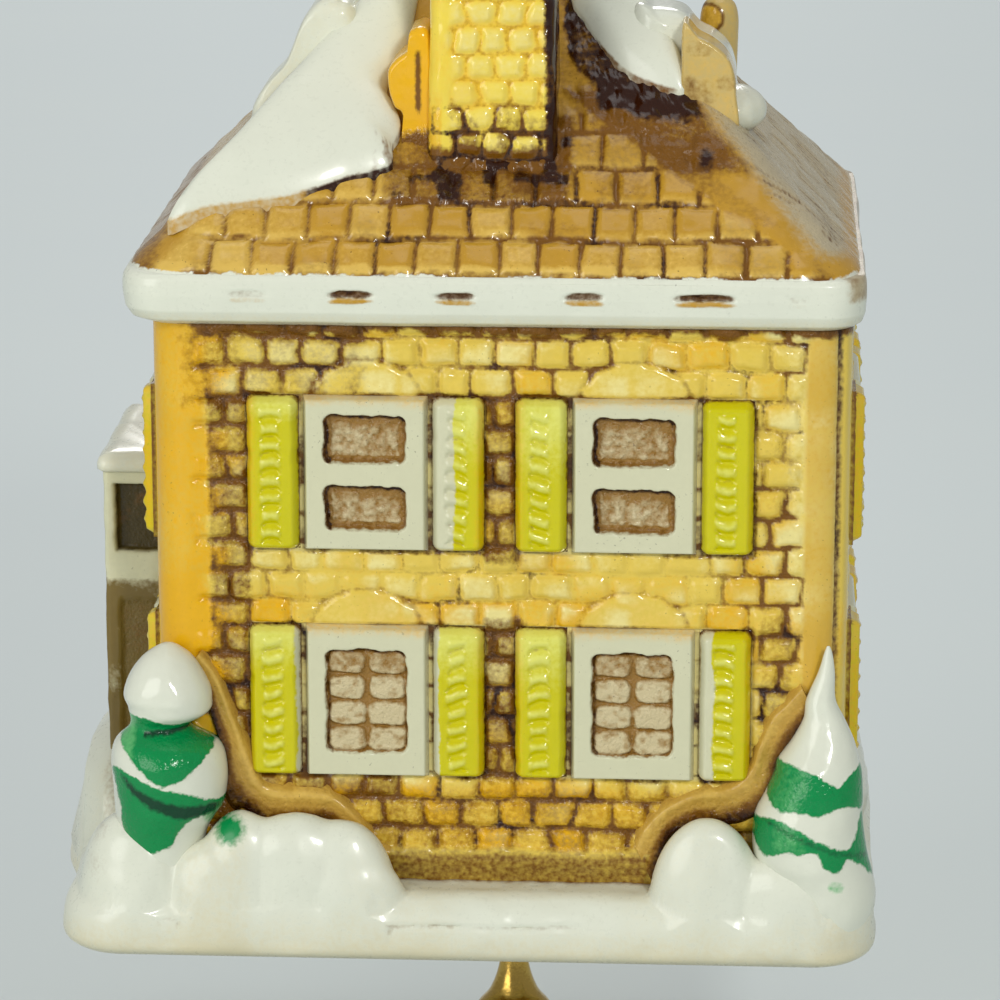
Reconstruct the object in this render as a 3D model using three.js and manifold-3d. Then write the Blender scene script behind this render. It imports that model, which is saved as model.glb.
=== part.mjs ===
// A hand-painted porcelain bell shaped as a snow-covered house, with a brass clapper that hangs
// inside its hollow shell. Millimetres, +Z up, the front with its four windows facing -Y.
// The origin of the finished group is the centre of the hanging eye above the ridge.
import * as THREE from "three";
import { mergeVertices } from "three/addons/utils/BufferGeometryUtils.js";
import Module from "manifold-3d";

const wasm = await Module();
wasm.setup();

// Clearances
const SEAT_GAP = 0.3;
const TRIM_OVERRUN = 5;

// House walls; heights are measured from the open rim
const WALL_HALF_WIDTH = 24.7;
const WALL_HALF_DEPTH = 20;
const WALL_CORNER_RADIUS = 2.6;
const SHELL_THICKNESS = 2.6;
const INNER_CORNER_RADIUS = 1.5;
const LEDGE_HEIGHT = 5;
const WALL_HEIGHT = 41.8;
const WALL_TOP = LEDGE_HEIGHT + WALL_HEIGHT;

// Snow base: how far it reaches past each wall, and its flat rim
const BASE_REACH = { left: 7.7, right: 3, front: 5.5, back: 5 };
const BASE_CORNER_RADIUS = 5;
const BASE_EDGE_ROUND = 1.8;
const RIM_WIDTH = 2.4;
const BASE_SKIRT_DEPTH = 2.4;

// Eave band under the tiles
const EAVE_REACH = { left: 2.3, right: 1.2, front: 2, back: 2 };
const EAVE_HEIGHT = 3.1;
const EAVE_CORNER_RADIUS = 3.2;
const EAVE_TOP = WALL_TOP + EAVE_HEIGHT;
const SLIT_HEIGHT = 0.6;
const SLIT_DEPTH = 0.45;
const SLIT_DROP = 0.3 * EAVE_HEIGHT;
const SLITS = [
  { along: -0.72, width: 2.6 },
  { along: -0.425, width: 2.8 },
  { along: -0.12, width: 2.8 },
  { along: 0.243, width: 2.6 },
  { along: 0.587, width: 4.4 },
  { along: 0.85, width: 1.6 },
];

// Hip roof of stepped tile courses
const ROOF_PITCH = THREE.MathUtils.degToRad(45);
const COURSE_RISE = 2.1;
const TILE_STEP = 0.35;
const RIDGE_HALF_THICKNESS = 0.9;
const HIP_RADIUS = 4.6;
const RIDGE_RADIUS = 0.8;
const CEILING_HALF_DEPTH = 2;

// Snow that lies on the roof, as outlines seen from above: the left and back ones in shares of the
// roof's half length and half depth, the right one in shares of the way from chimney to dormer
const SNOW_THICKNESS = 1.1;
const RIDGE_SNOW_REACH = 1.6;
const RIDGE_SNOW_OVERHANG = 2.5;
const SNOW_LEFT = [
  [-0.87, -0.83],
  [-0.766, -0.82],
  [-0.66, -0.805],
  [-0.569, -0.79],
  [-0.474, -0.76],
  [-0.388, -0.735],
  [-0.3, -0.7],
  [-0.26, -0.66],
  [-0.28, -0.6],
  [-0.3, -0.52],
  [-0.31, -0.45],
  [-0.28, -0.37],
  [-0.255, -0.2],
  [-0.25, -0.06],
  [-0.35, -0.12],
  [-0.52, -0.34],
  [-0.72, -0.58],
  [-0.86, -0.76],
];
const SNOW_RIGHT = [
  [0, -0.06],
  [0.05, -0.26],
  [0.14, -0.31],
  [0.25, -0.365],
  [0.35, -0.41],
  [0.48, -0.455],
  [0.65, -0.485],
  [0.85, -0.5],
  [1.05, -0.5],
  [1.02, -0.41],
  [0.85, -0.27],
  [0.5, -0.06],
];
const SNOW_BACK = [
  [-0.3, 0.06],
  [-0.42, 0.2],
  [-0.56, 0.4],
  [-0.58, 0.55],
  [-0.44, 0.6],
  [-0.28, 0.5],
  [-0.1, 0.58],
  [0.1, 0.52],
  [0.26, 0.62],
  [0.42, 0.56],
  [0.38, 0.34],
  [0.24, 0.06],
];

// Chimney in the front slope, with its brick courses and capping
const CHIMNEY = { left: -5.7, right: 4, setback: 6.8, depth: 8.6, height: 26 };
const CHIMNEY_TAPER = 0.6;
const BRICK_RISE = 2;
const BRICK_GROOVE = 0.3;
const CAP_HEIGHT = 1.5;
const CAP_REACH = 0.7;
const CHIMNEY_CORNER_RADIUS = 0.6;

// Sloping shoulder beside the chimney; its heights are above the roof at the chimney's front
const SHOULDER = { reach: 3, setback: 1.6, depth: 5.5, shin: 3.2, knee: 6.2, waist: 8.8, top: 11.2 };

// Dormers on the two end slopes, the snow against the right one and the small round stack behind it;
// a crown is a list of distances in from the dormer's face and heights above the slope
const DORMER_WIDTH = 6.8;
const DORMER_FRONT = -8;
const DORMER_LENGTH = 8;
const DORMERS = {
  left: {
    setback: 8.1,
    crown: [
      [0, 1.3],
      [0.4, 2.1],
      [2.3, 2.6],
      [3.5, 4.2],
      [4.6, 4.6],
      [6, 3.8],
    ],
  },
  right: {
    setback: 9.4,
    crown: [
      [0, 1.6],
      [0.2, 2.8],
      [0.7, 3.5],
      [1.6, 3.5],
      [2.7, 3],
      [4, 2.7],
      [6, 2],
    ],
  },
};
const CHEEK = { front: -10.5, length: 4 };
const DORMER_SNOW = { reach: 2.2, halfWidth: 3.2, rise: 2.2 };
const STACK_RADIUS = 1.45;
const STACK_SETBACK = 10.8;
const STACK_RISE = 6.2;
const STACK_Y = 1.2;

// Windows and shutters; each pair of shutters stands beside its frame
const FRAME_WIDTH = 8.9;
const FRAME_HEIGHT = 11.4;
const FRAME_DEPTH = 1;
const FRAME_CORNER_RADIUS = 0.5;
const SHUTTER_WIDTH = 3.8;
const SHUTTER_DEPTH = 1.25;
const SIDE_FRAME_WIDTH = 4.2;
const SIDE_SHUTTER_WIDTH = 2.4;
const WINDOW_SPACING = 0.389 * WALL_HALF_WIDTH;
const UPPER_SILL = 29.9;
const LOWER_SILL = 12.9;
const LOUVRE_COUNT = 7;
const LOUVRE_HEIGHT = 0.6;
const LOUVRE_DEPTH = 0.4;
const LOUVRE_INSET = 0.85;
const UPPER_PANES = [
  { bottom: 1.6, height: 3.3 },
  { bottom: 6.5, height: 3.5 },
];
const LOWER_PANES = [{ bottom: 1.9, height: 7.8 }];
const PANE_INSET = 1.5;
const PANE_CORNER_RADIUS = 0.6;

// Banks of earth and snow against the foot of the front wall; the points of each crest are
// shares of the wall's half width and height
const BANK_DEPTH = 0.9;
const LEFT_CREST = [
  [-0.895, 0.407],
  [-0.785, 0.325],
  [-0.737, 0.2],
  [-0.62, 0.165],
  [-0.47, 0.163],
  [-0.38, 0.11],
  [-0.324, 0.055],
];
const RIGHT_CREST = [
  [0.413, 0.062],
  [0.474, 0.12],
  [0.591, 0.158],
  [0.733, 0.196],
  [0.834, 0.297],
  [0.89, 0.373],
];

// Enclosed side bay on the left wall
const BAY = { reach: 5.8, halfWidth: 8, sill: 19.3, height: 27.2 };
const BAY_TRIM = 0.3;
const BAY_POST = 1;
const BAY_WINDOW = { height: 5.4, bottom: 1.7, depth: 1, inset: 1.4 };
const BAY_ROOF_HEIGHT = 1.4;

// Snow-laden fir trees at the front corners, each as radius and height above the ledge
const TREE_FRONT = 1.1;
const LEFT_TREE_X = -0.972 * WALL_HALF_WIDTH;
const RIGHT_TREE_X = 0.927 * WALL_HALF_WIDTH;
const LEFT_TREE = [
  [3, 0],
  [4.2, 2.4],
  [4.3, 4.6],
  [3.3, 6.4],
  [4.35, 7.9],
  [4, 10.2],
  [2.3, 12.4],
  [3.2, 13.7],
  [2.7, 16.2],
  [1.3, 17.7],
];
const LEFT_TREE_HEIGHT = 18.1;
const RIGHT_TREE = [
  [3.6, 0],
  [4.75, 2.6],
  [4.5, 4.6],
  [3.4, 5.6],
  [3.9, 7],
  [2.7, 9],
  [3, 10.4],
  [2.3, 12.8],
  [1.3, 14.8],
  [1.1, 17.6],
];
const RIGHT_TREE_HEIGHT = 18.6;

// Mounds of snow that rise from the base; along is a share of half the wall that each lies against
// and out is the distance from it
const MOUNDS = [
  { side: "front", along: -0.567, out: 2.2, rise: 0, size: [6.4, 3.2, 6.2] },
  { side: "front", along: 0.636, out: 2.4, rise: 2.2, size: [4.7, 3, 3.9] },
  { side: "left", along: -0.1, out: 4.8, rise: -1, size: [5.2, 10, 8] },
  { side: "right", along: 0.2, out: 0.4, rise: -1, size: [2.6, 12, 5.5] },
  { side: "back", along: -0.364, out: 1.9, rise: 0, size: [8, 3, 4.6] },
  { side: "back", along: 0.526, out: 1.9, rise: 0, size: [6.5, 3, 3.4] },
];

// Hanger bent from brass wire, the ring below it and the clapper
const WIRE_RADIUS = 0.45;
const EYE_RADIUS = 1.65;
const LINK_WIRE_RADIUS = 0.4;
const LINK_RADIUS = 2.2;
const HANGER_HOLE_RADIUS = 0.8;
const CLAPPER_DROP = 17.5;
const CLAPPER_ROD_RADIUS = 0.6;
const CLAPPER_FLARE = 13.5;
const CLAPPER_BOB_RADIUS = 3.3;

// Finishes
const SNOW = finish(0xe3e5da, 0.25);
const BRICK = finish(0xe0c66c, 0.3);
const TILE = finish(0xbf8f45, 0.35);
const CHIMNEY_YELLOW = finish(0xe6d250, 0.3);
const ORANGE = finish(0xe0a32f, 0.3);
const TAN = finish(0xd8b06a, 0.35);
const TRIM_WHITE = finish(0xd0cbbc, 0.3);
const SHUTTER_GREEN = finish(0xcdd124, 0.25);
const EARTH = finish(0x966432, 0.4);
const FIR_GREEN = finish(0x0c8f4e, 0.3);
const BAY_BROWN = finish(0x7d6840, 0.4);
const BRASS = new THREE.MeshStandardMaterial({ color: 0xc9a24a, roughness: 0.2, metalness: 1 });

function finish(color, roughness) {
  return new THREE.MeshStandardMaterial({ color, roughness, metalness: 0 });
}

// Solids: a closed geometry in, a geometry with the joins and cuts made out

function solidOf(geometry) {
  const bare = geometry.clone();
  bare.deleteAttribute("normal");
  bare.deleteAttribute("uv");
  const merged = mergeVertices(bare, 1e-4);
  return new wasm.Manifold(
    new wasm.Mesh({
      numProp: 3,
      vertProperties: new Float32Array(merged.attributes.position.array),
      triVerts: new Uint32Array(merged.index.array),
    }),
  );
}

function geometryOf(solid) {
  const mesh = solid.getMesh();
  const geometry = new THREE.BufferGeometry();
  geometry.setAttribute("position", new THREE.BufferAttribute(mesh.vertProperties, 3));
  geometry.setIndex(new THREE.BufferAttribute(mesh.triVerts, 1));
  geometry.computeVertexNormals();
  return geometry;
}

function cut(solid, ...tools) {
  return tools.reduce((rest, tool) => rest.subtract(tool), solid);
}

function join(first, ...others) {
  return others.reduce((whole, other) => whole.add(other), first);
}

// Outlines seen from above: rounded rectangles that grow, shrink and blend into one another

const CORNER_STEPS = 3;
const OUTLINE_STEPS = 3;

function grow(outline, by) {
  return {
    left: outline.left - by,
    right: outline.right + by,
    front: outline.front - by,
    back: outline.back + by,
    radius: Math.max(outline.radius + by, INNER_CORNER_RADIUS / 2),
  };
}

function reach(outline, amounts, radius) {
  return {
    left: outline.left - amounts.left,
    right: outline.right + amounts.right,
    front: outline.front - amounts.front,
    back: outline.back + amounts.back,
    radius,
  };
}

function blend(first, second, share) {
  const mixed = {};
  for (const key of Object.keys(first)) mixed[key] = first[key] + (second[key] - first[key]) * share;
  return mixed;
}

function ring({ left, right, front, back, radius }, z) {
  const corners = [
    [right - radius, back - radius],
    [left + radius, back - radius],
    [left + radius, front + radius],
    [right - radius, front + radius],
  ];
  return corners.flatMap(([x, y], quarter) =>
    Array.from({ length: CORNER_STEPS + 1 }, (_, step) => {
      const angle = ((quarter + step / CORNER_STEPS) * Math.PI) / 2;
      return new THREE.Vector3(x + radius * Math.cos(angle), y + radius * Math.sin(angle), z);
    }),
  );
}

// A closed skin over a stack of rings with the same number of points, closed by a fan at each end
function loft(rings) {
  const count = rings[0].length;
  const points = rings.flat();
  const indices = [];
  for (let level = 0; level + 1 < rings.length; level++)
    for (let i = 0; i < count; i++) {
      const a = level * count + i;
      const b = level * count + ((i + 1) % count);
      indices.push(a, b, b + count, a, b + count, a + count);
    }
  const last = (rings.length - 1) * count;
  for (let i = 1; i + 1 < count; i++) {
    indices.push(0, i + 1, i);
    indices.push(last, last + i, last + i + 1);
  }
  const geometry = new THREE.BufferGeometry().setFromPoints(points);
  geometry.setIndex(indices);
  return solidOf(geometry);
}

function prism(outline, bottom, top) {
  return loft([ring(outline, bottom), ring(outline, top)]);
}

function block(low, high) {
  const size = high.map((value, axis) => value - low[axis]);
  const geometry = new THREE.BoxGeometry(...size);
  geometry.translate(...low.map((value, axis) => value + size[axis] / 2));
  return solidOf(geometry);
}

// An outline in the XZ plane, given thickness along Y from back to front
function upright(shape, front, back, curveSegments = 4) {
  const geometry = new THREE.ExtrudeGeometry(shape, {
    depth: back - front,
    bevelEnabled: false,
    curveSegments,
  });
  geometry.rotateX(Math.PI / 2);
  geometry.translate(0, back, 0);
  return solidOf(geometry);
}

// An outline in the XY plane, extended upwards
function standing(shape, bottom, top, curveSegments = 3) {
  const geometry = new THREE.ExtrudeGeometry(shape, {
    depth: top - bottom,
    bevelEnabled: false,
    curveSegments,
  });
  geometry.translate(0, 0, bottom);
  return solidOf(geometry);
}

// A smooth closed outline through points in a plane
function closedOutline(points) {
  const curve = new THREE.CatmullRomCurve3(points.map(([x, y]) => new THREE.Vector3(x, y, 0)), true);
  return new THREE.Shape(curve.getPoints(points.length * OUTLINE_STEPS).slice(1));
}

function roundedPlate(shape, left, bottom, width, height, radius) {
  const right = left + width;
  const top = bottom + height;
  shape.moveTo(left + radius, bottom);
  shape.lineTo(right - radius, bottom);
  shape.absarc(right - radius, bottom + radius, radius, -Math.PI / 2, 0);
  shape.lineTo(right, top - radius);
  shape.absarc(right - radius, top - radius, radius, 0, Math.PI / 2);
  shape.lineTo(left + radius, top);
  shape.absarc(left + radius, top - radius, radius, Math.PI / 2, Math.PI);
  shape.lineTo(left, bottom + radius);
  shape.absarc(left + radius, bottom + radius, radius, Math.PI, 1.5 * Math.PI);
  return shape;
}

function revolved(profile, segments) {
  const points = profile.map(([radius, z]) => new THREE.Vector2(radius, z));
  const geometry = new THREE.LatheGeometry(points, segments);
  geometry.rotateX(Math.PI / 2);
  return solidOf(geometry);
}

// Shell: the outlines that the base, walls, eave and roof share

const WALL = {
  left: -WALL_HALF_WIDTH,
  right: WALL_HALF_WIDTH,
  front: -WALL_HALF_DEPTH,
  back: WALL_HALF_DEPTH,
  radius: WALL_CORNER_RADIUS,
};
const CAVITY = { ...grow(WALL, -SHELL_THICKNESS), radius: INNER_CORNER_RADIUS };
const BASE = reach(WALL, BASE_REACH, BASE_CORNER_RADIUS);
const EAVE = reach(WALL, EAVE_REACH, EAVE_CORNER_RADIUS);

const EAVE_HALF_DEPTH = (EAVE.back - EAVE.front) / 2;
const ROOF_SLOPE = Math.tan(ROOF_PITCH);
const RIDGE_INSET = EAVE_HALF_DEPTH - RIDGE_HALF_THICKNESS;
const RIDGE_TOP = EAVE_TOP + RIDGE_INSET * ROOF_SLOPE;
const ROOF_CLEAR = TILE_STEP + SEAT_GAP;

function houseWalls() {
  const outside = prism(WALL, LEDGE_HEIGHT, WALL_TOP);
  return cut(outside, prism(CAVITY, LEDGE_HEIGHT - TRIM_OVERRUN, WALL_TOP + TRIM_OVERRUN));
}

function moundSolid({ side, along, out, rise, size }) {
  const places = {
    front: [along * WALL_HALF_WIDTH, WALL.front - out],
    back: [along * WALL_HALF_WIDTH, WALL.back + out],
    left: [WALL.left - out, along * WALL_HALF_DEPTH],
    right: [WALL.right + out, along * WALL_HALF_DEPTH],
  };
  const geometry = new THREE.SphereGeometry(1, 14, 8);
  geometry.scale(...size);
  geometry.translate(...places[side], LEDGE_HEIGHT + rise);
  return solidOf(geometry);
}

function snowBase() {
  const edge = BASE_EDGE_ROUND;
  const profile = [
    [0, edge],
    [0.12, edge * 0.4],
    [0.36, 0],
    [0.62, 0],
    [0.82, edge * 0.4],
    [0.94, edge],
    [1, edge * 1.7],
  ];
  const body = loft(profile.map(([height, inset]) => ring(grow(BASE, -inset), height * LEDGE_HEIGHT)));
  const snow = join(body, ...MOUNDS.map(moundSolid));
  const skirt = grow(BASE, -edge - RIM_WIDTH);
  const slant = TRIM_OVERRUN / BASE_SKIRT_DEPTH;
  const hollow = loft([
    ring(blend(skirt, CAVITY, -slant), -TRIM_OVERRUN),
    ring(CAVITY, BASE_SKIRT_DEPTH),
    ring(CAVITY, LEDGE_HEIGHT + TRIM_OVERRUN),
  ]);
  const big = grow(BASE, BASE_REACH.left);
  const below = prism(big, -3 * TRIM_OVERRUN, 0);
  const house = prism(grow(WALL, SEAT_GAP), LEDGE_HEIGHT, WALL_TOP);
  return cut(snow, below, hollow, house, bayBlock(SEAT_GAP), ...banks(SEAT_GAP), ...trees(SEAT_GAP));
}

function eaveBand() {
  const profile = [
    [0, 0.08],
    [0.22, 0.5],
    [0.5, 0.85],
    [0.78, 1],
    [1, 0.95],
  ];
  const rings = profile.map(([height, share]) =>
    ring(blend(WALL, EAVE, share), WALL_TOP + height * EAVE_HEIGHT),
  );
  const slits = SLITS.map(({ along, width }) => {
    const x = along * WALL_HALF_WIDTH;
    const z = EAVE_TOP - SLIT_DROP;
    return block(
      [x - width / 2, EAVE.front - TRIM_OVERRUN, z - SLIT_HEIGHT / 2],
      [x + width / 2, EAVE.front + SLIT_DEPTH, z + SLIT_HEIGHT / 2],
    );
  });
  const hollow = prism(CAVITY, WALL_TOP - TRIM_OVERRUN, EAVE_TOP + TRIM_OVERRUN);
  return cut(loft(rings), hollow, ...slits);
}

// The roof's outline at a distance in from the eave, with hips that sharpen towards the ridge
function roofOutline(inset, out = 0) {
  const share = inset / RIDGE_INSET;
  return {
    left: EAVE.left + inset - out,
    right: EAVE.right - inset + out,
    front: EAVE.front + inset - out,
    back: EAVE.back - inset + out,
    radius: HIP_RADIUS + (RIDGE_RADIUS - HIP_RADIUS) * share + out / 2,
  };
}

// The plain roof without its courses, grown outwards by a clearance
function roofBlock(clear) {
  const out = clear / Math.sin(ROOF_PITCH);
  return loft([
    ring(roofOutline(0, out), EAVE_TOP - TRIM_OVERRUN),
    ring(roofOutline(0, out), EAVE_TOP),
    ring(roofOutline(RIDGE_INSET, out), RIDGE_TOP + clear / 4),
    ring(roofOutline(RIDGE_INSET, out / 2), RIDGE_TOP + clear),
  ]);
}

function hangerHole() {
  const hole = new THREE.CylinderGeometry(HANGER_HOLE_RADIUS, HANGER_HOLE_RADIUS, 4 * TRIM_OVERRUN, 16);
  hole.rotateX(Math.PI / 2);
  hole.translate(0, 0, RIDGE_TOP);
  return solidOf(hole);
}

const CEILING_INSET = EAVE_HALF_DEPTH - CEILING_HALF_DEPTH - SHELL_THICKNESS / Math.sin(ROOF_PITCH);
const CEILING = EAVE_TOP + CEILING_INSET * ROOF_SLOPE;

function roofShell() {
  const courses = Math.round((RIDGE_INSET * ROOF_SLOPE) / COURSE_RISE);
  const rise = (RIDGE_TOP - EAVE_TOP) / courses;
  const step = TILE_STEP / Math.sin(ROOF_PITCH);
  const rings = [];
  for (let course = 0; course < courses; course++) {
    const foot = (course * rise) / ROOF_SLOPE;
    const head = ((course + 1) * rise) / ROOF_SLOPE;
    const z = EAVE_TOP + course * rise;
    rings.push(ring(roofOutline(foot, step), z));
    rings.push(ring(roofOutline(head - step, step / 8), z + rise - TILE_STEP / 4));
  }
  rings.push(ring(roofOutline(RIDGE_INSET), RIDGE_TOP));
  const lining = SHELL_THICKNESS / Math.sin(ROOF_PITCH);
  const spring = EAVE_TOP + SHELL_THICKNESS / 2;
  const ceiling = grow(roofOutline(CEILING_INSET), -lining);
  const hollow = loft([
    ring(CAVITY, EAVE_TOP - TRIM_OVERRUN),
    ring(CAVITY, spring),
    ring({ ...ceiling, radius: INNER_CORNER_RADIUS }, CEILING),
  ]);
  return cut(loft(rings), hollow, hangerHole());
}

// Roof snow: the layer between two grown roofs, inside an outline seen from above

const SNOW_BAND = RIDGE_HALF_THICKNESS + RIDGE_SNOW_REACH;
const ROOF_MIDDLE = (EAVE.left + EAVE.right) / 2;
const ROOF_HALF_LENGTH = (EAVE.right - EAVE.left) / 2;
const CHEEK_SIDE = EAVE.right - DORMERS.right.setback - CHEEK.length;

function snowLayer(points) {
  const layer = cut(roofBlock(ROOF_CLEAR + SNOW_THICKNESS), roofBlock(ROOF_CLEAR));
  return layer.intersect(standing(closedOutline(points), EAVE_TOP, RIDGE_TOP + TRIM_OVERRUN));
}

function ridgeBand(clear) {
  return block(
    [EAVE.left, -SNOW_BAND - clear, EAVE_TOP],
    [EAVE.right, SNOW_BAND + clear, RIDGE_TOP + TRIM_OVERRUN],
  );
}

// The shares run from origin over a length along the roof, and from the ridge to the eave
function snowPatch(shares, origin, length) {
  const points = shares.map(([along, across]) => [origin + along * length, across * EAVE_HALF_DEPTH]);
  return cut(snowLayer(points), ridgeBand(SEAT_GAP), ...roofFixtures(SEAT_GAP));
}

function ridgeSnow() {
  const left = EAVE.left + RIDGE_INSET;
  const right = EAVE.right - RIDGE_INSET;
  const points = [
    [left - RIDGE_SNOW_OVERHANG, 0],
    [left, -SNOW_BAND],
    [0, -SNOW_BAND],
    [right, -SNOW_BAND],
    [right + RIDGE_SNOW_OVERHANG, 0],
    [right, SNOW_BAND],
    [0, SNOW_BAND],
    [left, SNOW_BAND],
  ];
  return cut(snowLayer(points).intersect(ridgeBand(0)), hangerHole(), ...roofFixtures(SEAT_GAP));
}

// Chimney

const CHIMNEY_FRONT = EAVE.front + CHIMNEY.setback;
const CHIMNEY_FOOT = EAVE_TOP;
const CHIMNEY_TOP = CHIMNEY_FOOT + CHIMNEY.height;

function chimneyOutline(clear = 0) {
  return {
    left: CHIMNEY.left - clear,
    right: CHIMNEY.right + clear,
    front: CHIMNEY_FRONT - clear,
    back: CHIMNEY_FRONT + CHIMNEY.depth + clear,
    radius: CHIMNEY_CORNER_RADIUS,
  };
}

function chimneyBody(clear = 0) {
  const rings = [];
  const courses = Math.round(CHIMNEY.height / BRICK_RISE);
  for (let course = 0; course < courses; course++) {
    const z = CHIMNEY_FOOT + course * BRICK_RISE;
    const taper = (-CHIMNEY_TAPER * course) / courses;
    rings.push(ring(grow(chimneyOutline(clear), taper - BRICK_GROOVE), z));
    rings.push(ring(grow(chimneyOutline(clear), taper), z + BRICK_GROOVE));
    rings.push(ring(grow(chimneyOutline(clear), taper), z + BRICK_RISE - BRICK_GROOVE));
  }
  rings.push(ring(grow(chimneyOutline(clear), -CHIMNEY_TAPER), CHIMNEY_TOP));
  return loft(rings);
}

function chimney() {
  return cut(chimneyBody(), roofBlock(ROOF_CLEAR));
}

function chimneyCap() {
  const outline = grow(chimneyOutline(), CAP_REACH - CHIMNEY_TAPER);
  const dome = CAP_HEIGHT / 3;
  return loft([
    ring(outline, CHIMNEY_TOP),
    ring(outline, CHIMNEY_TOP + CAP_HEIGHT - dome),
    ring(grow(outline, -dome), CHIMNEY_TOP + CAP_HEIGHT),
  ]);
}

function shoulderBlock(clear = 0) {
  const seat = EAVE_TOP + CHIMNEY.setback * ROOF_SLOPE;
  const inner = CHIMNEY.left - SEAT_GAP + clear;
  const outer = CHIMNEY.left - SHOULDER.reach - clear;
  const shape = new THREE.Shape();
  shape.moveTo(inner, CHIMNEY_FOOT);
  shape.lineTo(inner, seat + SHOULDER.top + clear);
  shape.quadraticCurveTo(
    inner - SHOULDER.reach / 5,
    seat + SHOULDER.waist,
    outer,
    seat + SHOULDER.knee + clear,
  );
  shape.lineTo(outer + SHOULDER.reach / 6, seat + SHOULDER.shin);
  shape.lineTo(outer + SHOULDER.reach * 0.4, CHIMNEY_FOOT);
  const front = CHIMNEY_FRONT + SHOULDER.setback;
  return upright(shape, front - clear, front + SHOULDER.depth + clear);
}

function chimneyShoulder() {
  return cut(shoulderBlock(), roofBlock(ROOF_CLEAR));
}

// Dormers: an outline in side view rises above the end slope and falls to the outward face

function dormerShape(side, clear, length) {
  const { setback, crown } = DORMERS[side];
  const away = side === "right" ? 1 : -1;
  const lift = clear / Math.cos(ROOF_PITCH);
  const at = (along, rise) => {
    const inset = setback + along;
    return [EAVE[side] - away * inset, EAVE_TOP + inset * ROOF_SLOPE + rise + lift];
  };
  const shape = new THREE.Shape();
  shape.moveTo(at(-clear, 0)[0], EAVE_TOP);
  shape.lineTo(...at(-clear, crown[0][1]));
  for (const [along, rise] of crown.filter((point) => point[0] < length)) shape.lineTo(...at(along, rise));
  shape.lineTo(...at(length + clear, length < DORMER_LENGTH ? crown.at(-1)[1] : 0));
  shape.lineTo(at(length + clear, 0)[0], EAVE_TOP);
  return shape;
}

function dormerBlock(side, clear = 0) {
  const outline = dormerShape(side, clear, DORMER_LENGTH);
  return upright(outline, DORMER_FRONT - clear, DORMER_FRONT + DORMER_WIDTH + clear);
}

function cheekBlock(clear = 0) {
  return upright(dormerShape("right", clear, CHEEK.length), CHEEK.front - clear, DORMER_FRONT + TRIM_OVERRUN);
}

function dormerSnow() {
  const inset = DORMERS.right.setback;
  const heap = new THREE.SphereGeometry(1, 20, 14);
  heap.rotateX(Math.PI / 2);
  heap.scale(DORMER_SNOW.reach, DORMER_SNOW.halfWidth, DORMER_SNOW.rise);
  heap.translate(EAVE.right - inset, DORMER_FRONT + DORMER_SNOW.halfWidth / 3, EAVE_TOP + inset * ROOF_SLOPE);
  const tools = [roofBlock(ROOF_CLEAR), dormerBlock("right", SEAT_GAP), cheekBlock(SEAT_GAP)];
  return cut(solidOf(heap), ...tools);
}

function stackBlock(clear = 0) {
  const foot = EAVE_TOP + STACK_SETBACK * ROOF_SLOPE - TRIM_OVERRUN;
  const top = EAVE_TOP + STACK_SETBACK * ROOF_SLOPE + STACK_RISE + clear;
  const radius = STACK_RADIUS + clear;
  const solid = revolved(
    [
      [0, foot],
      [radius, foot],
      [radius, top - radius],
      [radius * 0.8, top - radius * 0.4],
      [radius * 0.4, top - radius * 0.08],
      [0, top],
    ],
    16,
  );
  return solid.translate([EAVE.right - STACK_SETBACK, STACK_Y, 0]);
}

function rearStack() {
  return cut(stackBlock(), roofBlock(ROOF_CLEAR));
}

function roofFixtures(clear) {
  return [
    chimneyBody(clear),
    shoulderBlock(clear),
    dormerBlock("left", clear),
    dormerBlock("right", clear),
    cheekBlock(clear),
    stackBlock(clear),
  ];
}

// Windows: frames and shutters are made for a wall seen from outside, then set on that wall

function windowFrame(width, panes, sill) {
  const shape = roundedPlate(
    new THREE.Shape(),
    -width / 2,
    sill,
    width,
    FRAME_HEIGHT,
    FRAME_CORNER_RADIUS,
  );
  const inset = (PANE_INSET * width) / FRAME_WIDTH;
  for (const { bottom, height } of panes)
    shape.holes.push(
      roundedPlate(
        new THREE.Path(),
        -width / 2 + inset,
        sill + bottom,
        width - 2 * inset,
        height,
        PANE_CORNER_RADIUS,
      ),
    );
  return upright(shape, -FRAME_DEPTH, 0, 1);
}

function shutter(centre, width, sill) {
  const body = block(
    [centre - width / 2, -SHUTTER_DEPTH, sill],
    [centre + width / 2, 0, sill + FRAME_HEIGHT],
  );
  const pitch = (FRAME_HEIGHT - LOUVRE_INSET) / LOUVRE_COUNT;
  const slots = Array.from({ length: LOUVRE_COUNT }, (_, row) => {
    const z = sill + LOUVRE_INSET + row * pitch;
    return block(
      [centre - width / 2 + LOUVRE_INSET, -SHUTTER_DEPTH - TRIM_OVERRUN, z],
      [centre + width / 2 - LOUVRE_INSET, -SHUTTER_DEPTH + LOUVRE_DEPTH, z + LOUVRE_HEIGHT],
    );
  });
  return cut(body, ...slots);
}

// Turns by exact quarters, so that faces that touch keep the same coordinates
const QUARTER_TURNS = {
  front: [1, 0, 0, 1, WALL_HALF_DEPTH],
  right: [0, -1, 1, 0, WALL_HALF_WIDTH],
  back: [-1, 0, 0, -1, WALL_HALF_DEPTH],
  left: [0, 1, -1, 0, WALL_HALF_WIDTH],
};

function onWall(solid, side, along = 0) {
  const [a, b, c, d, distance] = QUARTER_TURNS[side];
  return solid.translate([along, -distance, 0]).transform([a, c, 0, 0, b, d, 0, 0, 0, 0, 1, 0, 0, 0, 0, 1]);
}

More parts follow.
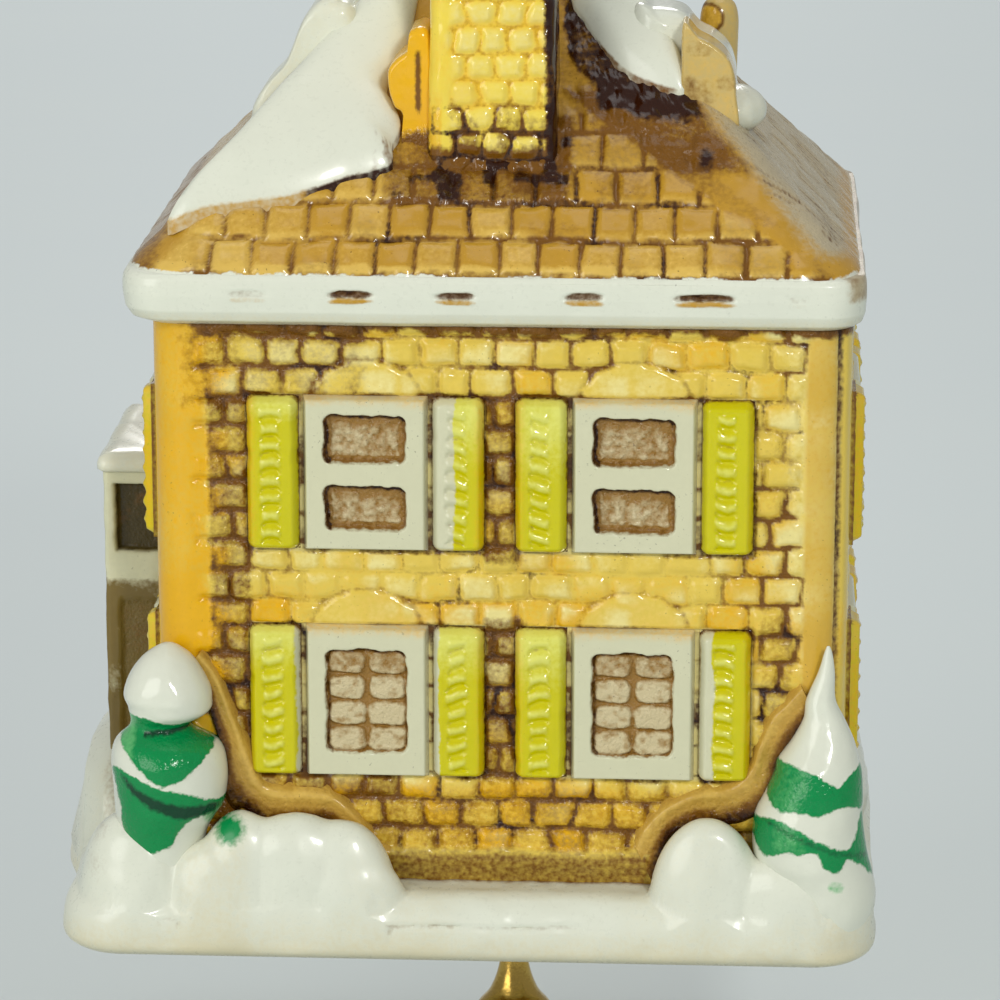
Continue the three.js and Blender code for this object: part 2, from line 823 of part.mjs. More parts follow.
function windowPieces(side, floor, along, frameWidth, shutterWidth, gap) {
  const sill = floor === "upper" ? UPPER_SILL : LOWER_SILL;
  const panes = floor === "upper" ? UPPER_PANES : LOWER_PANES;
  const reachOut = frameWidth / 2 + gap + shutterWidth / 2;
  return {
    frame: onWall(windowFrame(frameWidth, panes, sill), side, along),
    shutter_left: onWall(shutter(-reachOut, shutterWidth, sill), side, along),
    shutter_right: onWall(shutter(reachOut, shutterWidth, sill), side, along),
  };
}

// Banks at the foot of the front wall, each under its own rising crest

// A line that runs left to right, moved to its upper side
function raised(points, by) {
  return points.map(([x, z], i) => {
    const [x0, z0] = points[Math.max(i - 1, 0)];
    const [x1, z1] = points[Math.min(i + 1, points.length - 1)];
    const length = Math.hypot(x1 - x0, z1 - z0);
    return new THREE.Vector2(x - (by * (z1 - z0)) / length, z + (by * (x1 - x0)) / length);
  });
}

function bank(points, clear) {
  const crest = new THREE.SplineCurve(raised(points, clear)).getPoints((points.length - 1) * 2);
  const [firstX, firstZ] = points[0];
  const [lastX, lastZ] = points[points.length - 1];
  const shape = new THREE.Shape(crest);
  if (clear) shape.lineTo(lastX + clear, lastZ + clear);
  shape.lineTo(lastX + clear, LEDGE_HEIGHT);
  shape.lineTo(firstX - clear, LEDGE_HEIGHT);
  if (clear) shape.lineTo(firstX - clear, firstZ + clear);
  return upright(shape, WALL.front - BANK_DEPTH - clear, WALL.front + clear);
}

const WINDOW_REACH = FRAME_WIDTH / 2 + SEAT_GAP + SHUTTER_WIDTH;

function lowerWindowSpace(column) {
  const low = [column * WINDOW_SPACING - WINDOW_REACH - SEAT_GAP, WALL.front - TRIM_OVERRUN];
  const high = [column * WINDOW_SPACING + WINDOW_REACH + SEAT_GAP, WALL.front + TRIM_OVERRUN];
  return block([...low, LOWER_SILL - SEAT_GAP], [...high, LOWER_SILL + FRAME_HEIGHT]);
}

function banks(clear = 0) {
  const onFront = ([along, up]) => [along * WALL_HALF_WIDTH, LEDGE_HEIGHT + up * WALL_HEIGHT];
  const left = bank(LEFT_CREST.map(onFront), clear);
  const right = bank(RIGHT_CREST.map(onFront), clear);
  return [cut(left, lowerWindowSpace(-1)), cut(right, lowerWindowSpace(1))];
}

// Side bay: panelled foot, glazed upper part with a window in each free face, and a snowy lid

const BAY_OUTER = WALL.left - BAY.reach;

function bayBlock(clear) {
  return block(
    [BAY_OUTER - clear, -BAY.halfWidth - clear, LEDGE_HEIGHT],
    [WALL.left + TRIM_OVERRUN, BAY.halfWidth + clear, LEDGE_HEIGHT + BAY.height + clear],
  );
}

function bayFoot() {
  const top = LEDGE_HEIGHT + BAY.sill;
  const outer = BAY_OUTER + BAY_TRIM;
  const half = BAY.halfWidth - BAY_TRIM;
  const body = block([outer, -half, LEDGE_HEIGHT], [WALL.left, half, top]);
  const posts = [-1, 1].map((end) => {
    const y = end * (BAY.halfWidth - BAY_POST / 2);
    return block(
      [BAY_OUTER, y - BAY_POST / 2, LEDGE_HEIGHT],
      [BAY_OUTER + BAY_POST, y + BAY_POST / 2, top],
    );
  });
  return join(body, ...posts);
}

function bayWindows() {
  const low = LEDGE_HEIGHT + BAY.sill;
  const high = LEDGE_HEIGHT + BAY.height;
  const body = block([BAY_OUTER, -BAY.halfWidth, low], [WALL.left, BAY.halfWidth, high]);
  const bottom = low + BAY_WINDOW.bottom;
  const top = bottom + BAY_WINDOW.height;
  const half = BAY.halfWidth - BAY_WINDOW.inset;
  const cheeks = [-1, 1].map((end) => {
    const edges = [end * BAY.halfWidth * 2, end * (BAY.halfWidth - BAY_WINDOW.depth)];
    return block(
      [BAY_OUTER + BAY_WINDOW.inset, Math.min(...edges), bottom],
      [WALL.left - BAY_WINDOW.inset / 3, Math.max(...edges), top],
    );
  });
  const face = [-1, 1].map((end) => {
    const edges = [end * half, (end * BAY_WINDOW.inset) / 3];
    return block(
      [BAY_OUTER - TRIM_OVERRUN, Math.min(...edges), bottom],
      [BAY_OUTER + BAY_WINDOW.depth, Math.max(...edges), top],
    );
  });
  return cut(body, ...cheeks, ...face);
}

function bayRoof() {
  const low = LEDGE_HEIGHT + BAY.height;
  const outline = {
    left: BAY_OUTER - BAY_TRIM,
    right: WALL.left - SEAT_GAP,
    front: -BAY.halfWidth - BAY_TRIM,
    back: BAY.halfWidth + BAY_TRIM,
    radius: 0.8,
  };
  return loft([
    ring(outline, low),
    ring(outline, low + BAY_ROOF_HEIGHT / 2),
    ring(grow(outline, -BAY_ROOF_HEIGHT / 2), low + BAY_ROOF_HEIGHT),
  ]);
}

// Fir trees: revolved tiers, cut where they stand against the house

function tree(profile, height, x, clear) {
  const outline = [
    [0, LEDGE_HEIGHT],
    ...profile.map(([radius, z]) => [radius + clear, LEDGE_HEIGHT + z]),
    [0, LEDGE_HEIGHT + height + clear],
  ];
  return revolved(outline, 20).translate([x, WALL.front - TREE_FRONT, 0]);
}

function trees(clear = 0) {
  return [
    tree(LEFT_TREE, LEFT_TREE_HEIGHT, LEFT_TREE_X, clear),
    tree(RIGHT_TREE, RIGHT_TREE_HEIGHT, RIGHT_TREE_X, clear),
  ];
}

// Places of the windows on the end walls, measured from the middle of each wall
const STILE_OVERLAP = SEAT_GAP / 3;
const SIDE_WINDOW_REACH = SIDE_FRAME_WIDTH / 2 + SIDE_SHUTTER_WIDTH;
const RIGHT_WINDOW_SPACING = WINDOW_REACH + SEAT_GAP;
const LEFT_WINDOW_SPACING = BAY.halfWidth + 2 * SEAT_GAP + SIDE_WINDOW_REACH;

function endWindowSpace() {
  const front = Math.max(
    RIGHT_WINDOW_SPACING + WINDOW_REACH,
    LEFT_WINDOW_SPACING + SIDE_WINDOW_REACH,
  );
  const side = WALL_HALF_WIDTH + SHUTTER_DEPTH + SEAT_GAP;
  return block([-side, -front - SEAT_GAP, LOWER_SILL - SEAT_GAP], [side, 0, WALL_TOP]);
}

function standingTree(solid) {
  const house = prism(grow(WALL, SEAT_GAP), 0, WALL_TOP);
  return cut(solid, house, endWindowSpace(), ...banks(SEAT_GAP));
}

// Hanger, link and clapper, one above the other on the plumb line through the ridge

const RIDGE_SNOW_TOP = RIDGE_TOP + ROOF_CLEAR + SNOW_THICKNESS;
const EYE_REACH = EYE_RADIUS + WIRE_RADIUS;
const HANGING_EYE = RIDGE_SNOW_TOP + SEAT_GAP + EYE_REACH;
const INNER_EYE = CEILING - SEAT_GAP - EYE_REACH;
const HANGER_PIVOT = INNER_EYE - EYE_RADIUS;
const LINK_HANG = WIRE_RADIUS + LINK_WIRE_RADIUS + SEAT_GAP;
const LINK_CENTRE = HANGER_PIVOT + LINK_HANG - LINK_RADIUS;
const CLAPPER_PIVOT = LINK_CENTRE - LINK_RADIUS;
const CLAPPER_EYE = CLAPPER_PIVOT + LINK_HANG - EYE_RADIUS;

// A ring of wire in the XZ plane
function wireRing(radius, wire, z) {
  const geometry = new THREE.TorusGeometry(radius, wire, 8, 20);
  geometry.rotateX(Math.PI / 2);
  geometry.translate(0, 0, z);
  return solidOf(geometry);
}

function hangerWire() {
  const top = HANGING_EYE - EYE_RADIUS;
  const bottom = INNER_EYE + EYE_RADIUS;
  const shank = new THREE.CylinderGeometry(WIRE_RADIUS, WIRE_RADIUS, top - bottom, 12);
  shank.rotateX(Math.PI / 2);
  shank.translate(0, 0, (top + bottom) / 2);
  return join(
    wireRing(EYE_RADIUS, WIRE_RADIUS, HANGING_EYE),
    solidOf(shank),
    wireRing(EYE_RADIUS, WIRE_RADIUS, INNER_EYE),
  );
}

function clapperLink() {
  const geometry = new THREE.TorusGeometry(LINK_RADIUS, LINK_WIRE_RADIUS, 8, 20);
  geometry.rotateX(Math.PI / 2);
  geometry.rotateZ(Math.PI / 2);
  geometry.translate(0, 0, LINK_CENTRE);
  return solidOf(geometry);
}

function clapper() {
  const rod = CLAPPER_ROD_RADIUS;
  const bob = CLAPPER_BOB_RADIUS;
  const end = -CLAPPER_DROP;
  const profile = [
    [0, end],
    [bob * 0.55, end + bob * 0.18],
    [bob * 0.88, end + bob * 0.5],
    [bob, end + bob * 0.95],
    [bob * 0.9, end + bob * 1.45],
    [bob * 0.55, end + CLAPPER_FLARE * 0.47],
    [bob * 0.32, end + CLAPPER_FLARE * 0.66],
    [rod * 1.15, end + CLAPPER_FLARE],
    [rod, end + CLAPPER_FLARE + 3],
    [rod, CLAPPER_EYE - EYE_RADIUS],
    [0, CLAPPER_EYE - EYE_RADIUS],
  ];
  return join(revolved(profile, 20), wireRing(EYE_RADIUS, WIRE_RADIUS, CLAPPER_EYE));
}

// Assembly

const house = new THREE.Group();
house.position.z = -HANGING_EYE;

function add(name, solid, material) {
  const mesh = new THREE.Mesh(geometryOf(solid), material);
  mesh.name = name;
  house.add(mesh);
}

add("snow_base", snowBase(), SNOW);
add("house_walls", houseWalls(), BRICK);
add("eave_band", eaveBand(), SNOW);
add("roof_shell", roofShell(), TILE);
add("ridge_snow", ridgeSnow(), SNOW);
add("roof_snow_left", snowPatch(SNOW_LEFT, ROOF_MIDDLE, ROOF_HALF_LENGTH), SNOW);
add("roof_snow_right", snowPatch(SNOW_RIGHT, CHIMNEY.right, CHEEK_SIDE - CHIMNEY.right), SNOW);
add("roof_snow_back", snowPatch(SNOW_BACK, ROOF_MIDDLE, ROOF_HALF_LENGTH), SNOW);
add("chimney", chimney(), CHIMNEY_YELLOW);
add("chimney_shoulder", chimneyShoulder(), ORANGE);
add("chimney_cap", chimneyCap(), SNOW);
add("dormer_left", cut(dormerBlock("left"), roofBlock(ROOF_CLEAR)), SNOW);
add("dormer_right", cut(join(dormerBlock("right"), cheekBlock()), roofBlock(ROOF_CLEAR)), TAN);
add("dormer_snow", dormerSnow(), SNOW);
add("rear_stack", rearStack(), TAN);

const [leftBank, rightBank] = banks();
add("bank_left", leftBank, EARTH);
add("bank_right", rightBank, EARTH);
add("bay_foot", bayFoot(), BAY_BROWN);
add("bay_windows", bayWindows(), TRIM_WHITE);
add("bay_roof", bayRoof(), SNOW);

const [leftTree, rightTree] = trees();
add("tree_left", standingTree(leftTree), FIR_GREEN);
add("tree_right", standingTree(rightTree), FIR_GREEN);

for (const floor of ["upper", "lower"])
  for (const [column, along] of [
    ["left", -WINDOW_SPACING],
    ["right", WINDOW_SPACING],
  ]) {
    const name = `front_${floor}_${column}`;
    const pieces = windowPieces("front", floor, along, FRAME_WIDTH, SHUTTER_WIDTH, SEAT_GAP);
    add(`${name}_frame`, pieces.frame, TRIM_WHITE);
    add(`${name}_shutter_left`, pieces.shutter_left, SHUTTER_GREEN);
    add(`${name}_shutter_right`, pieces.shutter_right, SHUTTER_GREEN);

    const back = windowPieces("back", floor, along, FRAME_WIDTH, SHUTTER_WIDTH, -STILE_OVERLAP);
    add(`back_${floor}_${column}_window`, join(...Object.values(back)), TRIM_WHITE);

    const end = column === "left" ? "front" : "rear";
    const turn = Math.sign(along);
    const right = windowPieces(
      "right",
      floor,
      turn * RIGHT_WINDOW_SPACING,
      FRAME_WIDTH,
      SHUTTER_WIDTH,
      -STILE_OVERLAP,
    );
    add(`right_${floor}_${end}_window`, join(...Object.values(right)), TRIM_WHITE);
    const left = windowPieces(
      "left",
      floor,
      -turn * LEFT_WINDOW_SPACING,
      SIDE_FRAME_WIDTH,
      SIDE_SHUTTER_WIDTH,
      -STILE_OVERLAP,
    );
    add(`left_${floor}_${end}_window`, join(...Object.values(left)), TRIM_WHITE);
  }

add("hanger_wire", hangerWire(), BRASS);
add("clapper_link", clapperLink(), BRASS);
add("clapper", clapper(), BRASS);

export default house;
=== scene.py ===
"""Looks of a glazed porcelain house bell with a brass clapper, built around its CAD frame."""

import bpy
import numpy as np
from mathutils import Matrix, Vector


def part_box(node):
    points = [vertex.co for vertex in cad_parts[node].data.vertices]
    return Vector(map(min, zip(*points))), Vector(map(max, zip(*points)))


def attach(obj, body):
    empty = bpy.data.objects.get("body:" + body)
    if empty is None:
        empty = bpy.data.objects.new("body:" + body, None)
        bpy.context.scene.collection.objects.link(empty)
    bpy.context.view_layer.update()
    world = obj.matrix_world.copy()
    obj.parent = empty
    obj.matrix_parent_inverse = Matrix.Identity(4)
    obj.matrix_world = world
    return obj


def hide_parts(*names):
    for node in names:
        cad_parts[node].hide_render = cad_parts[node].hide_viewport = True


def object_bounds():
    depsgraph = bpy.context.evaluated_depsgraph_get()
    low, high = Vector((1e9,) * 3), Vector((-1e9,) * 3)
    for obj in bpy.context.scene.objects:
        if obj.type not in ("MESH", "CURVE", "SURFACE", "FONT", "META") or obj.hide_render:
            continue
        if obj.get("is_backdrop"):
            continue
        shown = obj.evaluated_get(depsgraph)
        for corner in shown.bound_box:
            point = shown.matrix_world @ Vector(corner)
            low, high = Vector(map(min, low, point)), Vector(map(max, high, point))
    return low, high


bl_info = {
    "name": "Porcelain House Bell",
    "version": (1, 0, 0),
    "blender": (4, 5, 0),
    "location": "3D View > Sidebar > House Bell",
    "description": "Makes the glazed and painted pieces of a porcelain house bell around its CAD frame",
    "category": "Add Mesh",
}

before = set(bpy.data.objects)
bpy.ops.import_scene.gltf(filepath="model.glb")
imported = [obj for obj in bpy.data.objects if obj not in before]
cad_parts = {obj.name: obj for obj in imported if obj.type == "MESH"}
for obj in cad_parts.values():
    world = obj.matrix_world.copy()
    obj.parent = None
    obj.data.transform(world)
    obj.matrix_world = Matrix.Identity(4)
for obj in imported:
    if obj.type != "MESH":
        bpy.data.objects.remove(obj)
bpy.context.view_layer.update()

# Lengths here are millimetres: x to the right, y to the back, z up from the open rim
MM = 1000
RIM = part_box("snow_base")[0].z * MM


def extent(node):
    """Left, right, front, back, foot and top of a CAD node."""
    low, high = (np.array(corner) * MM - (0, 0, RIM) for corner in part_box(node))
    return low[0], high[0], low[1], high[1], low[2], high[2]


def outline_of(node, radius):
    """A CAD node seen from above, as a rounded rectangle: left, right, front, back and corner radius."""
    return np.array([*extent(node)[:4], radius])


WALL = outline_of("house_walls", 2.6)
EAVE = outline_of("eave_band", 3.2)
LEDGE, WALL_TOP = extent("house_walls")[4:]
EAVE_TOP = extent("eave_band")[5]
BASE = np.array([WALL[0] - 7.7, WALL[1] + 3, WALL[2] - 5.5, WALL[3] + 5, 5])
SHELL = 2.4
RIDGE_HALF_THICKNESS = 0.9
RIDGE_INSET = EAVE[3] - RIDGE_HALF_THICKNESS
SLOPE = np.sqrt(0.5)
SHARP_EDGE = np.radians(70)


def paint(red, green, blue):
    """A colour as it looks on screen, 0 to 255, as the linear colour that Blender mixes."""
    screen = np.array([red, green, blue]) / 255
    return tuple(np.where(screen <= 0.04045, screen / 12.92, ((screen + 0.055) / 1.055) ** 2.4))


class HouseBellSizes(bpy.types.PropertyGroup):
    """Sizes of the modelled relief."""

    brick_width: bpy.props.FloatProperty(
        name="Brick width", description="Length of one brick in a course", default=0.00275, unit="LENGTH"
    )
    brick_rise: bpy.props.FloatProperty(
        name="Brick rise", description="Height of one course of bricks", default=0.00215, unit="LENGTH"
    )
    brick_relief: bpy.props.FloatProperty(
        name="Brick relief", description="Height of a brick over its joints", default=0.0004, unit="LENGTH"
    )
    tile_width: bpy.props.FloatProperty(
        name="Tile width", description="Width of one roof tile", default=0.0029, unit="LENGTH"
    )
    tile_rise: bpy.props.FloatProperty(
        name="Tile rise", description="Height of one course of tiles", default=0.0022, unit="LENGTH"
    )
    snow_depth: bpy.props.FloatProperty(
        name="Snow depth", description="Thickness of the snow on the roof", default=0.0013, unit="LENGTH"
    )
    louvres: bpy.props.IntProperty(
        name="Louvres", description="Number of louvres in a shutter", default=8, min=3, max=12
    )


def colour_property(name, description, default):
    return bpy.props.FloatVectorProperty(
        name=name, description=description, default=default, subtype="COLOR", size=3, min=0, max=1
    )


class HouseBellColours(bpy.types.PropertyGroup):
    """Glaze and paint colours."""

    snow: colour_property("Snow", "White glaze of the snow and the eave", paint(224, 226, 210))
    # Cream also paints shade: towards the foot of the base and on the lower part of the eave roll
    cream: colour_property("Cream", "Thin cream where the white glaze pools", paint(216, 208, 176))
    brick: colour_property("Brick", "Yellow of the bricks", paint(228, 198, 84))
    # A painted highlight on the tops of the bricks, on the walls and on the chimney
    pale_brick: colour_property("Pale brick", "Worn tops of the bricks", paint(238, 222, 146))
    gold: colour_property("Gold", "Golden paint at the corners", paint(230, 174, 8))
    peach: colour_property("Peach", "Peach paint at the right corner", paint(214, 172, 62))
    # The wash and the dark wash also stand for painted shade in places: round the window units, along the
    # pane edges, on the chimney's right face, along the banks' lower borders and under the left roof snow's
    # hem
    wash: colour_property("Wash", "Brown wash that fills the joints", paint(118, 76, 14))
    dark: colour_property("Dark wash", "Darkest brown in the deep joints", paint(46, 16, 0))
    tile: colour_property("Tile", "Tan of the roof tiles", paint(192, 146, 46))
    # Gold on some tiles, and the painted highlight on the tiles' lower edges, along the top of the eave and
    # on the banks' crests
    tile_gold: colour_property("Tile edge", "Golden lower edges of the tiles", paint(220, 182, 88))
    taupe: colour_property("Taupe", "Grey brown of the end slopes", paint(190, 175, 142))
    chimney: colour_property("Chimney", "Yellow of the chimney", paint(242, 216, 84))
    orange: colour_property("Orange", "Orange of the chimney's shoulder", paint(236, 180, 28))
    tan: colour_property("Tan", "Tan of the dormer and the stack", paint(204, 180, 116))
    trim: colour_property("Trim", "Off-white of the window frames", paint(212, 210, 178))
    pane: colour_property("Pane", "Brown of the window panes", paint(150, 112, 52))
    # Also the painted glints in the panes
    pane_grey: colour_property("Pane grey", "Grey tops of the lattice in the panes", paint(206, 190, 150))
    shutter: colour_property("Shutter", "Yellow green of the shutters", paint(206, 197, 0))
    # Also the painted highlights on the louvre bars
    shutter_pale: colour_property("Pale shutter", "Thin paint on the shutters", paint(226, 224, 110))
    earth: colour_property("Earth", "Brown of the banks", paint(190, 150, 64))
    fir: colour_property("Fir", "Green of the trees", paint(0, 138, 72))
    thin_fir: colour_property("Thin fir", "Green where the glaze is thin", paint(96, 182, 112))
    # Deep fir is painted shade in the trees' creases and under the snow cap
    deep_fir: colour_property("Deep fir", "Green in the creases", paint(2, 62, 36))
    bay: colour_property("Bay", "Brown of the bay's panels", paint(120, 100, 48))
    bay_pane: colour_property("Bay pane", "Dark olive of the bay's windows", paint(70, 58, 18))
    brass: colour_property("Brass", "Metal of the hanger and the clapper", paint(214, 178, 92))
    floor: colour_property("Floor", "Pale floor under the bell", paint(199, 208, 208))


def sizes():
    return bpy.context.scene.house_bell_sizes


def tint(name):
    return (*getattr(bpy.context.scene.house_bell_colours, name), 1)


# Numbers that vary over a surface


def step(low, high, value):
    """A smooth rise from 0 at low to 1 at high: t * t * (3 - 2 t)."""
    t = np.clip((value - low) / (high - low), 0, 1)
    return t * t * (3 - 2 * t)


def between(low, high, value, soft):
    """1 from low to high, falling smoothly to 0 over soft at both ends."""
    return step(low - soft, low, value) * (1 - step(high, high + soft, value))


def cell_value(i, j, seed):
    """A repeatable number from 0 to 1 for each whole-numbered cell."""
    n = i.astype(np.int64).astype(np.uint64) * np.uint64(73856093)
    n ^= j.astype(np.int64).astype(np.uint64) * np.uint64(19349663)
    n ^= np.uint64(seed * 83492791 + 1013904223)
    n = (n ^ (n >> np.uint64(13))) * np.uint64(1274126177)
    n = (n ^ (n >> np.uint64(16))) * np.uint64(2246822519)
    return ((n >> np.uint64(8)) & np.uint64(0xFFFF)) / 0xFFFF


def noise(u, v, length, seed):
    """Smooth noise from 0 to 1 whose lumps are about length across: cell values blended by step."""
    u, v = np.broadcast_arrays(u / length, v / length)
    i, j = np.floor(u), np.floor(v)
    a, b = step(0, 1, u - i), step(0, 1, v - j)
    low = cell_value(i, j, seed) * (1 - a) + cell_value(i + 1, j, seed) * a
    high = cell_value(i, j + 1, seed) * (1 - a) + cell_value(i + 1, j + 1, seed) * a
    return low * (1 - b) + high * b


def rough(u, v, length, seed):
    """Three sizes of noise added, each half the length and half the height of the last, about 0."""
    return sum((noise(u, v, length / 2**k, seed + k) - 0.5) / 2**k for k in range(3))


def bell(value, width):
    """A soft ridge: 1 where value is 0, falling off on both sides as exp(-(value / width)^2)."""
    return np.exp(-((value / width) ** 2))


def rounded(across, up, radius):
    """How far inside a rectangle with rounded corners: radius - hypot of what is left of it each way."""
    return radius - np.hypot(np.clip(radius - across, 0, None), np.clip(radius - up, 0, None))


def beyond(left, right, low, high, u, v):
    """How far outside a rectangle; 0 inside it."""
    return np.hypot(
        np.clip(np.maximum(left - u, u - right), 0, None), np.clip(np.maximum(low - v, v - high), 0, None)
    )


def bricks(u, v, width, rise, seed, corner=0.55):
    """Staggered courses of bricks with rounded corners.

    Returns the pillow height from 0 to 1, the joint mask and a number for each brick.
    """
    u = u + 0.5 * rough(u, v, 2.2, seed)
    v = v + 0.35 * rough(u, v, 2.6, seed + 5)
    row = np.floor(v / rise)
    u = u / width + 0.5 * (row % 2) + 0.2 * cell_value(row, row * 0, seed)
    column = np.floor(u)
    across = np.minimum(u - column, 1 - u + column) * width
    up = np.minimum(v / rise - row, 1 - v / rise + row) * rise
    edge = rounded(across, up, corner)
    return step(0.02, corner, edge), 1 - step(0.04, 0.26, edge), cell_value(row, column, seed + 9)


def spline(points, count, closed=True):
    """Points at even steps along a smooth line through the given points (Catmull-Rom)."""
    points = np.array(points, float)
    size = len(points)
    t = np.linspace(0, size if closed else size - 1, count, endpoint=not closed)
    i = np.floor(t).astype(int)
    if not closed:
        i = np.minimum(i, size - 2)
    f = (t - i)[:, None]
    pick = (lambda k: points[(i + k) % size]) if closed else (lambda k: points[np.clip(i + k, 0, size - 1)])
    a, b, c, d = pick(-1), pick(0), pick(1), pick(2)
    return 0.5 * (2 * b + (c - a) * f + (2 * a - 5 * b + 4 * c - d) * f**2 + (3 * b - a - 3 * c + d) * f**3)


# Meshes: every piece is a stack of closed loops of points


def ring(outlines, steps, arc):
    """Rounded rectangles as loops, anticlockwise from the left end of the front.

    A side is a straight run at even steps; a corner is centre + radius * (cos a, sin a).
    Returns x and y with a row for each outline, and the outward angle of each point of a loop.
    """
    left, right, front, back, radius = (np.atleast_2d(outlines)[:, k, None] for k in range(5))
    runs = (
        (left + radius, front, right - radius, front, -90, right - radius, front + radius),
        (right, front + radius, right, back - radius, 0, right - radius, back - radius),
        (right - radius, back, left + radius, back, 90, left + radius, back - radius),
        (left, back - radius, left, front + radius, 180, left + radius, front + radius),
    )
    x, y, angle = [], [], []
    for (x0, y0, x1, y1, facing, centre_x, centre_y), count in zip(runs, steps):
        t = np.linspace(0, 1, count, endpoint=False)
        turn = np.radians(facing + 90 * np.linspace(0, 1, arc, endpoint=False))
        x += [x0 + (x1 - x0) * t, centre_x + radius * np.cos(turn)]
        y += [y0 + (y1 - y0) * t, centre_y + radius * np.sin(turn)]
        angle += [np.full(count, np.radians(facing)), turn]
    return np.concatenate(x, 1), np.concatenate(y, 1), np.concatenate(angle)


def grown(outline, by):
    """A rounded rectangle moved outwards by a distance."""
    return outline + np.array([-by, by, -by, by, np.maximum(by, 0.4 - outline[4])])


def drawn_in(inset):
    """What is added to a rounded rectangle to draw its sides in, for an array of insets."""
    return np.stack([inset, -inset, inset, -inset, 0 * inset], -1)


def grid(left, right, columns, foot, top, rows):
    """Places across and up, as two arrays with a row for each column of points."""
    return np.meshgrid(np.linspace(left, right, columns), np.linspace(foot, top, rows), indexing="ij")


def loops_of(x, y, z):
    """Points from their coordinates, spread to one shape."""
    return np.stack(np.broadcast_arrays(x, y, z), -1)


def pushed(x, y, angle, out):
    """Points moved by out along their outward angles."""
    return x + out * np.cos(angle), y + out * np.sin(angle)


def piece(name, loops, finish, node, masks=None, joined=False, body="house"):
    """A closed mesh from loops of points, shaped (stations, points, 3) in millimetres.

    finish names its material, slot the record's material and node the solid that it replaces.
    Each loop is joined to the next by quads; the end loops are filled, or joined when joined is set.
    A mask is a number from 0 to 1 for each point, and it is 0 everywhere where none is given.
    """
    loops = np.asarray(loops, float)
    count, around = loops.shape[:2]
    index = np.arange(count * around).reshape(count, around)
    here, there = (index, np.roll(index, -1, 0)) if joined else (index[:-1], index[1:])
    quads = np.stack([here, np.roll(here, -1, 1), np.roll(there, -1, 1), there], -1).reshape(-1, 4)
    ends = [] if joined else [index[0][::-1], index[-1]]
    points = loops.reshape(-1, 3)
    a, b, c, d = (points[quads[:, k]] for k in range(4))
    volume = np.sum(a * np.cross(b, c)) + np.sum(a * np.cross(c, d))
    for end in ends:
        fan = points[end]
        volume += np.sum(fan[0] * np.cross(fan[1:-1], fan[2:]))
    if volume < 0:
        quads, ends = quads[:, ::-1], [end[::-1] for end in ends]
    corners = np.concatenate([quads.ravel(), *ends])
    totals = np.concatenate([np.full(len(quads), 4), [len(end) for end in ends]]).astype(int)
    starts = np.concatenate([[0], np.cumsum(totals)[:-1]])
    mesh = bpy.data.meshes.new(name)
    mesh.vertices.add(len(points))
    mesh.vertices.foreach_set("co", ((points + (0, 0, RIM)) / MM).astype(np.float32).ravel())
    mesh.loops.add(len(corners))
    mesh.loops.foreach_set("vertex_index", corners.astype(np.int32))
    mesh.polygons.add(len(starts))
    mesh.polygons.foreach_set("loop_start", starts.astype(np.int32))
    mesh.update(calc_edges=True)
    mesh.validate()
    mesh.shade_smooth()
    mesh.set_sharp_from_angle(angle=SHARP_EDGE)
    for label, values in (masks or {}).items():
        layer = mesh.attributes.new(label, "FLOAT", "POINT")
        full = np.broadcast_to(values, (count, around)).astype(np.float32)
        layer.data.foreach_set("value", np.clip(full, 0, 1).ravel())
    mesh.materials.append(material(finish))
    made = bpy.data.objects.new(name, mesh)
    bpy.context.scene.collection.objects.link(made)
    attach(made, body)
    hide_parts(node)


def plate(name, across, up, height, back, face, finish, node, masks):
    """A plate on a wall: columns of points that stand out by height, then a plain back without paint.

    across and up are grids of places on the wall, and face turns (across, out, up) into a point.
    """
    behind = [face(across[:, k], np.full(len(across), back), up[:, k]) for k in (-1, 0)]
    loops = np.concatenate([face(across, height, up), np.stack(behind, 1)], 1)
    masks = {label: np.pad(values, ((0, 0), (0, 2))) for label, values in masks.items()}
    piece(name, loops, finish, node, masks)


def wall_face(side):
    """The function that turns a place on a wall into a point; across runs to the right, seen from outside."""
    reach = {"front": -WALL[2], "back": WALL[3], "left": -WALL[0], "right": WALL[1]}[side]
    turn = np.radians({"front": 0, "right": 90, "back": 180, "left": 270}[side])

    def face(across, out, up):
        x, y = across, -(reach + out)
        return np.stack([x * np.cos(turn) - y * np.sin(turn), x * np.sin(turn) + y * np.cos(turn), up], -1)

    return face


def heap(outline, centre, profile, ground, sink=0.5, rings=26, around=144):
    """Loops of a heap of snow that lies on a surface.

    Seen from above, a loop is the outline drawn towards the centre by a share r. The top is
    ground(x, y) + profile(r, x, y), and the underside is ground(x, y) - sink.
    """
    dense = spline(outline, 720) - centre
    angle = np.arctan2(dense[:, 1], dense[:, 0])
    order = np.argsort(angle)
    at = np.linspace(-np.pi, np.pi, around, endpoint=False)
    edge = np.interp(at, angle[order], np.hypot(*dense.T)[order], period=2 * np.pi)
    share = 1 - np.linspace(0.98, 0, rings) ** 2
    r = np.concatenate([share, share[::-1]])[:, None]
    x = centre[0] + r * edge * np.cos(at)
    y = centre[1] + r * edge * np.sin(at)
    top = np.arange(len(r))[:, None] < rings
    return loops_of(x, y, ground(x, y) + np.where(top, profile(r, x, y), -sink))


def lid(outline, rounds, foot, top, steps):
    """Points of a slab with rounded edges: its outline grown by each amount, at each rise up to the top."""
    x, y, angle = ring(np.stack([grown(outline, by) for by, _ in rounds]), steps, 8)
    rise = np.array([rise for _, rise in rounds])[:, None] * (top - foot) / rounds[-1][1]
    return x, y, foot + rise + 0 * x, angle


